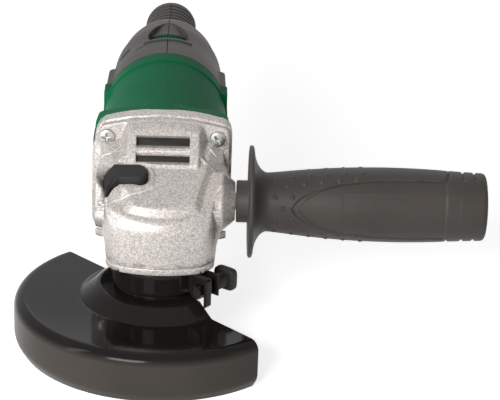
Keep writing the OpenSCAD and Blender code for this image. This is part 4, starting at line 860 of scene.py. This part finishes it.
def cage():
    """The inner cage behind the barrel, whose ribbed end shows through the window: a turned wall
    with fine lengthwise ribs, a cosine round its upper part."""
    wall_r, end_r, bore_r, rib, pitch = 26.2, 20.0, 19, 0.35, 1.5
    a = np.radians(np.linspace(-90, 270, 720, endpoint=False))
    y = spread([113, 140, 140.6, 162, 162.6], [6, 2, 10, 2])[:, None]
    top = np.abs(np.degrees(a) - 90) < 22
    ribs = 26.0 + rib * np.cos(np.degrees(a) * TAU / pitch)
    r = np.where(y > 140.3, np.where(top, ribs, end_r), wall_r)
    return tube(around_axis(r, y, a), around_axis(bore_r, y[[0, -1]], a))


mesh_of("motor_barrel", together(barrel(), cage()), "machine", "green_plastic", ["motor_housing"], 40)


# ---------- rear handle ----------

TILT = math.sin(math.radians(0.8))      # rise of the handle's axis towards the tail
HANDLE_Y = [117, 129, 140, 150, 160, 168, 176, 187, 198, 209, 216, 221, 252, 255]
HANDLE_R = [31, 30.6, 29.8, 29, 28.7, 28.3, 26.9, 25.2, 22.4, 18.6, 15.7, 14.2, 14.2, 12.4]
WINDOW_SIDE = [(8.6, 147.2), (9.9, 150.0), (9.8, 157.0), (8.4, 163.0), (6.2, 169.0), (3.4, 175.0)]
WINDOW = WINDOW_SIDE + [(0, 178.6)] + [(-x, y) for x, y in WINDOW_SIDE[::-1]]
STRIP_X, STRIP_REAR = 8.6, 161.8        # green strip inside the window
SHELL_SCREWS = [(148, 39.5), (148, 76.5), (203, 47), (203, 71)]     # (y, z) on the left half
SCREW_HOLE_R = 3.2


def handle_axis(y):
    """Height of the handle's axis."""
    return AXIS_Z + (y - BARREL_REAR) * TILT


def handle_radius(y):
    """Radius along the handle: a smooth run through its stations, the mean of three places close
    together, less the grooves of the tail, each a rounded notch."""
    near, tail_y, rear_y, pitch = 1.5, 221.0, 251, 5.4
    r = sum(np.interp(y + d, HANDLE_Y, HANDLE_R) for d in (-near, 0, near)) / 3
    r = np.where(y > rear_y, np.interp(y, [rear_y, 254.2, 255], [14.2, 13.6, 12.4]), r)
    wave = np.mod((y - tail_y) / pitch, 1.0)
    groove = smooth((wave - 0.30) / 0.14) * smooth((0.90 - wave) / 0.14)
    return r - 1.1 * groove * (y > tail_y) * (y < 248)


def handle_field(x, y, z):
    """The handle's body of revolution about its slightly rising axis, with a ridge over each flank
    and across the top, less the window's scoop and opening, the slit, the cooling slots and the
    screw holes."""
    up = z - handle_axis(y)
    r, radius = np.hypot(x, up), handle_radius(y)
    ridge = meet(np.abs(x) - 30.7 + 0.02 * (y - BARREL_REAR), np.abs(up - 3) - 10.5, 1.6)
    body = join((r - radius) * 0.93, within(meet(ridge, y - 143, 4.0), 112 - y), 1.2)
    angle = np.degrees(np.arctan2(np.abs(x), up))
    hoop = meet(r - 30.5, np.abs(y - 141.0 - 0.0016 * angle ** 2) - 0.7, 0.5)
    body = join(body, meet(hoop, (angle - 25) * 0.5, 0.4), 0.6)
    window = within(outline_field(x, y, WINDOW, 0.4), -up)
    body = cut(body, within(window, radius - 0.2 - 2.4 * smooth((180 - y) / 14) - r), 0.5)
    body = cut(body, within(window, y - STRIP_REAR + 0.3, 20 - r), 0.4)
    slit_x, slit_y = x + 13.9, y - 137.3
    slit = within(np.abs(slit_x) - 2.4, np.abs(slit_y - 0.33 * slit_x) - 0.55, 25 - r, -up)
    body = cut(body, slit, 0.2)
    slot, pitch = 1.3, 6.0
    vent = within(np.abs(np.mod(y - 131, pitch) - slot) - slot, np.abs(up) - 9, 22 - np.abs(x))
    body = cut(body, within(vent, 130 - y, y - 158.8), 0.4)
    for screw_y, screw_z in SHELL_SCREWS:
        body = cut(body, within(np.hypot(y - screw_y, z - screw_z) - SCREW_HOLE_R, x + 12), 0.5)
    return body + 0.4 * smooth((BARREL_REAR + 0.5 - y) / 0.5)


def handle_half(side):
    """One half of the clamshell: lines from the handle's axis outwards to its field, over half a
    turn less a hair's breadth of seam, beside which the surface falls off a little; the wall is
    closed from inside at an even depth."""
    wall, bore_r = 2.5, 27.6
    y = spread([117.05, 117.6, 136, 139.5, 143, 146, 151, 180, 218, 250, 254, 255],
               [4, 36, 14, 14, 8, 16, 72, 44, 84, 8, 6])[:, None]
    a = np.radians(spread([-89.85, -89.4, -86, 40, 64, 88.5, 89.4, 89.85], [2, 6, 76, 30, 44, 4, 2]))
    if side < 0:
        a = math.pi - a
    start, way = grid(0 * a, y, handle_axis(y)), grid(np.cos(a), 0, np.sin(a))
    outer = march(handle_field, start, start + 36 * way, steps=44)
    from_top = np.abs(np.degrees(a) - 90)
    seam = np.minimum(from_top, np.abs(from_top - 180))
    reach = np.linalg.norm(outer - start, axis=-1) - 0.35 * (1 - smooth((seam - 0.15) / 0.7))
    inner_r = np.minimum(np.minimum(handle_radius(y) - wall, bore_r), reach - 0.6)
    outer, inner = start + way * reach[..., None], start + way * inner_r[..., None]
    return shell(outer[:, ::side], inner[:, ::side])


mesh_of("handle_shell_left", handle_half(-1), "machine", "grey_plastic", ["rear_handle_left"], 42)
mesh_of("handle_shell_right", handle_half(1), "machine", "grey_plastic", ["rear_handle_right"], 42)


def window_strip():
    """Ribbed green strip inside the window: its height is a sine across the handle."""
    x = np.linspace(-STRIP_X, STRIP_X, 121)
    y = spread([152.8, 153.0, 153.4, 161.4, STRIP_REAR], [2, 3, 12, 3])[:, None]
    ridge = 0.35 * np.sin(x * TAU / 1.5) - 0.03 * x ** 2
    top = grid(x, y, 84.2 + ridge - 0.5 * (1 - smooth((y - 152.8) / 0.6)))
    return shell(top * [1, 1, 0] + [0, 0, 80.5], top)


mesh_of("window_strip", window_strip(), "machine", "green_plastic", (), 50)


# ---------- side handle ----------

GRIP_TURN = 10.0        # the grip's pattern is turned this far up from level, in degrees


def arc(centre, radii, degrees, count):
    """Points on an arc, with a radius for each direction."""
    a = np.radians(np.linspace(*degrees, count))
    return np.stack([centre[0] + radii[0] * np.cos(a), centre[1] + radii[1] * np.sin(a)], -1)


def side_profile():
    """Section of the grip, (distance along its axis, radius): spigot, hand guard with a round rim
    and a hollow fillet behind it, swelling grip, and rounded end."""
    front = [(35.3, 0), (35.3, 5), (35.3, 9.4), (35.6, 9.75), (36.0, 9.85), (40.4, 9.85), (40.8, 10.1),
             (40.9, 12), (40.9, 24.6), (40.95, 25.2)]
    rim = arc((42.0, 25.15), (1.05, 1.05), (170, 20), 9)
    fillet = arc((50.0, 25.4), (-6.7, -11.7), (6, 84), 16)
    end_x, end_r, end_round = 149.2, 15.8, 1.8
    x = np.concatenate([np.arange(50.2, 96, 0.25), np.arange(96, 128, 0.5), np.arange(128, end_x, 0.25)])
    r = np.interp(x, [50, 56, 65, 75, 84, 93, 102, 111, 120, 129, 138, 146, 150],
                  [13.72, 14.35, 15.35, 16.25, 16.85, 17.2, 17.4, 17.42, 17.2, 16.8, 16.3, 15.95, end_r])
    r = np.convolve(np.pad(r, 8, mode="edge"), np.ones(17) / 17, mode="valid")
    end = arc((end_x, end_r - end_round), (end_round, end_round), (90, 0), 7)
    dome = [(151.1, 12), (151.2, 8), (151.25, 4), (151.25, 0)]
    return np.vstack([front, rim, fillet, np.stack([x, r], -1), end, dome])


def grip_dots():
    """Places of the raised dots, (distance along the grip, degrees from the pattern's middle)."""
    pitch = 8.0
    near = [(52.8 + pitch * k, 20.5) for k in (0, 1)]
    inner = [(58.4 + pitch * k, turn) for k, turn in enumerate((44, 47, 49.5, 51, 53))]
    outer = [(52.8 + (pitch + 0.05) * k, turn) for k, turn in enumerate((60, 62, 64, 65.5, 66, 67.5))]
    return [(56.2, 0.0)] + near + inner + outer


def grip_relief(x, turn):
    """Height of the grip's relief over its plain surface, at a distance along it and an angle
    from the pattern's middle: two lens-shaped panels with a groove round them, raised dots between
    them, a ring groove behind, and short notches."""
    t = (turn + 180) % 360 - 180
    t = np.where(np.abs(t) > 90, 180 - np.abs(t), np.abs(t))      # the far side repeats the near one
    inner = np.interp(x, [63.9, 65.2, 67.5, 72.5, 79, 87, 99, 111, 131.5],
                      [0, 9, 18, 31, 39.5, 45.5, 50, 51.8, 54])
    outer = np.interp(x, [60.6, 62.0, 64.8, 71, 83, 99, 111, 127.6, 131.0],
                      [0, 10, 20.5, 33.5, 45.5, 53, 54.8, 56, 57.5])
    scale = math.radians(17.0) * np.where(x < 75, 0.55, 1.0)      # millimetres to a degree, about
    panel = smooth((inner - t) * scale / 0.7 + 0.5) * (x > 63.0)
    ditch = smooth((outer - t) * scale / 0.5 + 0.5) * (x > 60.0) * (1 - panel)
    behind = smooth((x - 131.2) / 1.2)
    curl = np.exp(-((x - 132.2 - 1.6 * smooth((t - 58) / 26)) / 0.62) ** 2) * smooth((t - 54) / 5)
    relief = -0.42 * np.maximum(panel, behind) * (1 - behind) - 0.95 * ditch * (1 - behind) - 0.85 * curl
    for notch_x in (140.4, 145.8):
        relief -= 0.8 * np.exp(-((x - notch_x) / 0.75) ** 4) * smooth((t - 58) / 8)
    recess = smooth((x - 83.4) / 0.5) * smooth((138.4 - x) / 0.5) * smooth((27.5 - t) / 1.6)
    relief -= 0.12 * recess
    dot_r, dot_high = 1.08, 0.62
    for dot_x, dot_turn in grip_dots():
        local_r = np.interp(dot_x, [50, 84, 100], [13.9, 16.9, 17.4])
        d = np.hypot(x - dot_x, (t - dot_turn) * math.pi / 180 * local_r)
        dot = dot_high * np.sqrt(np.maximum(0, 1 - (d / dot_r) ** 2))
        relief = np.maximum(relief, dot + relief * (d > dot_r))
    return relief


def side_handle():
    """The section turned about the handle's axis, its grip raised and lowered by the relief."""
    x, r = side_profile().T[..., None]
    a = round_trip(300)
    on_grip = smooth((x - 49.9) / 0.5) * smooth((149.6 - x) / 0.6)
    r = r + grip_relief(x + 0 * a, np.degrees(a) - GRIP_TURN) * on_grip
    return skin(grid(x, SIDE_Y - r * np.cos(a), SIDE_Z + r * np.sin(a)), caps=False)


mesh_of("side_handle_grip_body", side_handle(), "side_handle", "grey_plastic", ["side_handle_grip"], 42)


# ---------- wheel guard and its clamp ----------

OPEN_DIR, EAR_DIR = 43.6, -38.0         # directions of the guard's opening and of the clamp's ears
NECK_R, NECK_TOP, LEDGE_R, LEDGE_Z = 19.1, 28.1, 24.6, 14.1
SKIRT_R, PLATE_Z, HEM_R, HEM_Z = 67, 8.1, 63.9, -14.6


def polyline(corners, radii, step=0.6):
    """A line through corners, each rounded by an arc of its own radius, with even steps and closer
    ones towards both ends, and the length along it to each point."""
    corners = np.asarray(corners, float)
    out = [corners[:1]]
    for a, p, b, r in zip(corners, corners[1:], corners[2:], radii):
        u, v = (a - p) / np.linalg.norm(a - p), (b - p) / np.linalg.norm(b - p)
        half = math.acos(np.clip(u @ v, -1, 1)) / 2
        reach = r / math.tan(half)
        middle = p + (u + v) / np.linalg.norm(u + v) * r / math.sin(half)
        start, end = p + u * reach - middle, p + v * reach - middle
        t = np.linspace(0, 1, 9)[:, None]
        w = math.acos(np.clip(start @ end / r ** 2, -1, 1))
        out.append(middle + (np.sin((1 - t) * w) * start + np.sin(t * w) * end) / math.sin(w))
    p = np.vstack(out + [corners[-1:]])
    s, ends = run_of(p), np.array([0.08, 0.25, 0.5, 0.8])
    keep = np.concatenate([[True], np.diff(s) > 1e-6])
    places = np.unique(np.concatenate([s, np.arange(0, s[-1], step), s[-1] - ends, ends]))
    return along(places, s[keep], p[keep]), places


def guard():
    """Two sheets of two millimetres: the neck and ledge, turned all the way round, and the plate,
    corner and skirt with its hem, swept through half a turn. Both have round edges."""
    thickness, far = 2.0, 9
    line, s = polyline([(NECK_R, NECK_TOP), (NECK_R, LEDGE_Z), (LEDGE_R, LEDGE_Z)], [1.2])
    a = round_trip(180)
    facing = (np.degrees(a) - OPEN_DIR + 180) % 360 - 180
    edge = np.minimum(s[:, None], np.where(np.abs(facing) < 90.5, s[-1] - s[:, None], far))
    ring = sheet(swept(line, a), thickness, edge, around=True)
    line, s = polyline([(LEDGE_R, LEDGE_Z), (28.2, LEDGE_Z), (36.6, PLATE_Z), (SKIRT_R, PLATE_Z),
                        (SKIRT_R, -9.5), (HEM_R, HEM_Z)], [3.0, 4.0, 4.2, 7.5])
    ends = np.array([0, 0.06, 0.18, 0.35, 0.6, 0.9, 1.3])
    a = np.radians(OPEN_DIR + np.concatenate([90 + ends, np.linspace(92, 268, 170), 270 - ends[::-1]]))
    side = np.minimum(a - a[0], a[-1] - a) * line[:, 0, None]
    edge = np.minimum(np.where(side < 3, side, far), (s[-1] - s)[:, None])
    return together(ring, sheet(swept(line, a), thickness, edge))


mesh_of("guard_sheet", guard(), "guard", "black_paint", ["wheel_guard"], 50)


def with_close_ends(low, high, close, near, count):
    """Values from low to high whose steps get shorter towards both ends."""
    return spread([low, low + close, low + near, high - near, high - close, high], [2, 2, count, 2, 2])


def upright(x, y, s, z, thickness):
    """Upright sheet metal over a plan line, with round edges on all four sides."""
    edge = np.minimum(np.minimum(s - s[0], s[-1] - s)[:, None], np.minimum(z - z[0], z[-1] - z))
    return sheet(grid(x[:, None], y[:, None], z), thickness, edge)


def band():
    """Strip along a plan line: round the neck, turned out at both ends into two flat ears, with a
    lip bent at right angles at the end of the front one."""
    mid, bend, gap, tip = 20.95, 2.2, 3.0, 33.2
    bend_x = math.sqrt((mid + bend) ** 2 - (gap + bend) ** 2)
    first = math.atan2(gap + bend, bend_x)
    a = np.linspace(first, TAU - first, 150)
    ring = np.stack([mid * np.cos(a), mid * np.sin(a)], -1)
    turn = np.linspace(math.pi + first, 1.5 * math.pi, 10)[1:]
    corner = np.stack([bend_x + bend * np.cos(turn), gap + bend + bend * np.sin(turn)], -1)
    ear = np.stack([np.linspace(bend_x, tip, 24)[1:], np.full(23, gap)], -1)
    ear[-4:, 0] = tip - np.array([0.7, 0.35, 0.12, 0.0])
    out = np.vstack([corner, ear])
    plan = np.vstack([out[::-1], ring, out * [1, -1]])
    turn = math.radians(EAR_DIR)
    strip = upright(*rotate(*plan.T, turn), run_of(plan), with_close_ends(16.6, 27.6, 0.15, 0.5, 8), 1.7)
    v = with_close_ends(-7.0, -2.3, 0.2, 0.6, 6)
    lip = upright(*rotate(tip - 0.5, v, turn), v, with_close_ends(13.6, 27.1, 0.2, 0.6, 8), 1.5)
    return together(strip, lip)


mesh_of("clamp_band", band(), "guard", "black_paint", ["guard_band"], 50)


def knob():
    """Slab with four lobes on a short collar, on the clamp screw's axis. The lobes come from a
    cosine and a sine, each raised to a power well under one."""
    power, screw_x, screw_z = 0.42, 27.96, 20.2
    c, s = np.cos(round_trip(96)), np.sin(round_trip(96))
    lobes = np.stack([5.4 * np.sign(c) * np.abs(c) ** power, 5.8 * np.sign(s) * np.abs(s) ** power], -1)
    head = slab(even_outline(lobes, 96, 2), 12.9, 17.1, 1.1)
    collar = turned([(2.6, 4.4), (3.5, 4.4), (3.7, 4.6), (3.7, 12.95), (2.6, 12.95)], 40)
    d = math.radians(EAR_DIR)
    origin = (screw_x * math.cos(d), screw_x * math.sin(d), screw_z)
    return together(*[skin(laid(part, origin, (0, 0, 1), (math.cos(d), math.sin(d), 0)))
                      for part in (head, collar)])


mesh_of("thumb_screw_knob", knob(), "thumb_screw", "black_plastic", ["thumb_knob"])


# ---------- finishes of every piece ----------

def guard_finish():
    """Gloss black paint on the plate, satin down the skirt, where the colour is a little lighter: a painted
    reflection of the bright floor.
    """
    f = Finish("guard_paint")
    broad = f.noise(0.03, 3.0)
    up = (f.height() + 0.001 * broad).between(0.004, 0.0075)
    share = broad.between(0.3, 0.7)
    # painted reflection: the skirt's lighter colour stands in for the floor reflected in its glossy wall
    skirt = f.mix(share, (0.050, 0.044, 0.038), (0.064, 0.056, 0.048))
    plate = f.mix(share, (0.010, 0.008, 0.008), (0.015, 0.012, 0.011))
    f.set(Base_Color=f.mix(up, skirt, plate), Roughness=0.30 - 0.23 * up + 0.04 * broad,
          Specular_IOR_Level=0.1, Normal=f.bump(f.noise(0.004), 0.1, 0.00002))
    return f.material


# by material slot; plastics have a light and a dark colour and a roughness
SATIN, GLOSS = 0.42, 0.06
FINISHES = {
    "cast_aluminium": cast_finish("sand_blasted_casting", (0.35, 0.321, 0.30), (0.73, 0.675, 0.64)),
    "green_plastic": plastic_finish("green_housing", (0.005, 0.175, 0.070), (0.003, 0.145, 0.056), 0.38,
                                    shine=0.02),
    "grey_plastic": plastic_finish("grey_brown_plastic", (0.066, 0.058, 0.052), (0.050, 0.044, 0.039), SATIN),
    "black_plastic": plastic_finish("black_plastic", (0.036, 0.033, 0.030), (0.026, 0.024, 0.022), SATIN),
    "black_paint": plastic_finish("black_paint", (0.016, 0.013, 0.012), (0.010, 0.008, 0.008), GLOSS,
                                  grain=0.004, depth=0.00002, strength=0.1, shine=0.12, vary=0.05),
    "zinc_steel": metal_finish("zinc_plate", (0.50, 0.51, 0.49), 0.26),
    "steel": metal_finish("machined_steel", (0.60, 0.60, 0.61), 0.28),
    "gear_steel": metal_finish("gear_steel", (0.36, 0.36, 0.37), 0.36),
    "lamination": metal_finish("stacked_laminations", (0.34, 0.33, 0.32), 0.45, (1, 40, 1)),
    "copper": metal_finish("enamelled_copper", (0.62, 0.25, 0.10), 0.34),
    "brass": metal_finish("brass", (0.70, 0.52, 0.22), 0.30),
    "carbon": plastic_finish("brush_carbon", (0.05, 0.05, 0.05), (0.03, 0.03, 0.03), 0.55),
    "rubber": plastic_finish("rubber", (0.028, 0.028, 0.028), (0.018, 0.018, 0.018), 0.62),
    "felt": plastic_finish("felt", (0.30, 0.28, 0.24), (0.20, 0.19, 0.16), 0.9,
                           grain=0.0006, depth=0.0002, strength=0.6),
    "capacitor_case": plastic_finish("capacitor_case", (0.60, 0.42, 0.05), (0.50, 0.34, 0.04), 0.4),
}
BLACK_STEEL = metal_finish("blackened_steel", (0.070, 0.061, 0.054), 0.34)
# by the name of a piece or a solid whose finish isn't its slot's
OWN_FINISH = {
    "clamp_nut": BLACK_STEEL,
    "clamp_stud": BLACK_STEEL,
    # painted highlight: a light, polished finish on the raised lines where the casting's edges catch the
    # light
    "casting_painted_highlight_lines": metal_finish("painted_highlight_finish", (0.90, 0.87, 0.84), 0.22, metal=0.4),
    "guard_sheet": guard_finish(),
}


def finish_all():
    """The finish of its material slot, or its own, for each piece and each solid that is kept."""
    slots = {part["node"]: part["material_slot"] for part in frame["record"]["subparts"]}
    for name, node in frame["nodes"].items():
        node.data.materials.clear()
        node.data.materials.append(OWN_FINISH.get(name, FINISHES[slots[name]]))
    for piece in bpy.context.scene.objects:
        if piece.get("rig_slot") and piece.type == "MESH" and not piece.data.materials:
            piece.data.materials.append(OWN_FINISH.get(piece.name, FINISHES[piece["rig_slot"]]))


# ---------- studio and camera ----------

def background():
    """White for the camera and for reflections, dim as a light."""
    world = bpy.data.worlds.new("studio")
    bpy.context.scene.world = world
    g = Graph(world)
    dim = g.node("Background", Color=(1, 1, 1, 1), Strength=0.08)
    white = g.node("Background", Color=(1, 1, 1, 1), Strength=1.0)
    mix = g.node("MixShader", i0=g.seen(), i1=dim.outputs[0], i2=white.outputs[0])
    g.node("OutputWorld", i0=mix.outputs[0])


def lamp(name, power, size, place, aim):
    """A soft box of so many watts, metres wide and high, turned to face a place."""
    data = bpy.data.lights.new(name, "AREA")
    data.shape, data.energy = "RECTANGLE", power
    data.size, data.size_y = size
    box = placed(name, data)
    box.location = place
    box.rotation_euler = (Vector(aim) - Vector(place)).to_track_quat("-Z", "Y").to_euler()


def lay_floor():
    """A pale floor just under the lowest solid, which looks about white and keeps the shadow."""
    half, low, pale = 3.0, cad_box[0].z - 0.0005, 0.74
    mesh = bpy.data.meshes.new("floor")
    mesh.from_pydata([(-half, -half, low), (half, -half, low), (half, half, low), (-half, half, low)], [],
                     [(0, 1, 2, 3)])
    f = Finish("pale_floor")
    f.set(Base_Color=f.mix(f.noise(0.5, 1.0), (0.90, 0.90, 0.90), (0.93, 0.93, 0.93)), Roughness=0.9,
          Emission_Color=f.mix(f.seen(), (0, 0, 0), (pale, pale, pale)), Emission_Strength=1.0)
    mesh.materials.append(f.material)
    floor = placed("floor", mesh)


def camera():
    """A long lens from the front and above, at the head's middle; its axes and place in metres."""
    data = bpy.data.cameras.new("camera")
    data.sensor_width, data.lens = 36, 152.11
    data.clip_start, data.clip_end = 0.05, 20
    right, up = (0.999368, -0.014766, 0.032342), (-0.024248, 0.382203, 0.923756)
    back, place = (-0.026001, -0.923956, 0.381603), (0.01612, -0.90609, 0.43179)
    cam = placed("camera", data)
    cam.matrix_world = Matrix([*zip(right, up, back, place), (0, 0, 0, 1)])
    bpy.context.scene.camera = cam


finish_all()
background()
lamp("front_box", 8.2, (0.42, 0.30), (-0.34, -0.80, 0.44), (0, 0, 0.05))
lamp("left_strip", 1.6, (0.12, 0.7), (-0.75, -0.35, 0.35), (0, 0, 0.04))
lamp("right_strip", 0.2, (0.12, 0.7), (0.80, -0.35, 0.35), (0, 0, 0.04))
lamp("back_box", 0.9, (0.8, 0.5), (0.1, 0.9, 0.75), (0, 0.1, 0.05))
lay_floor()
camera()
bpy.context.scene.view_settings.view_transform = "Standard"
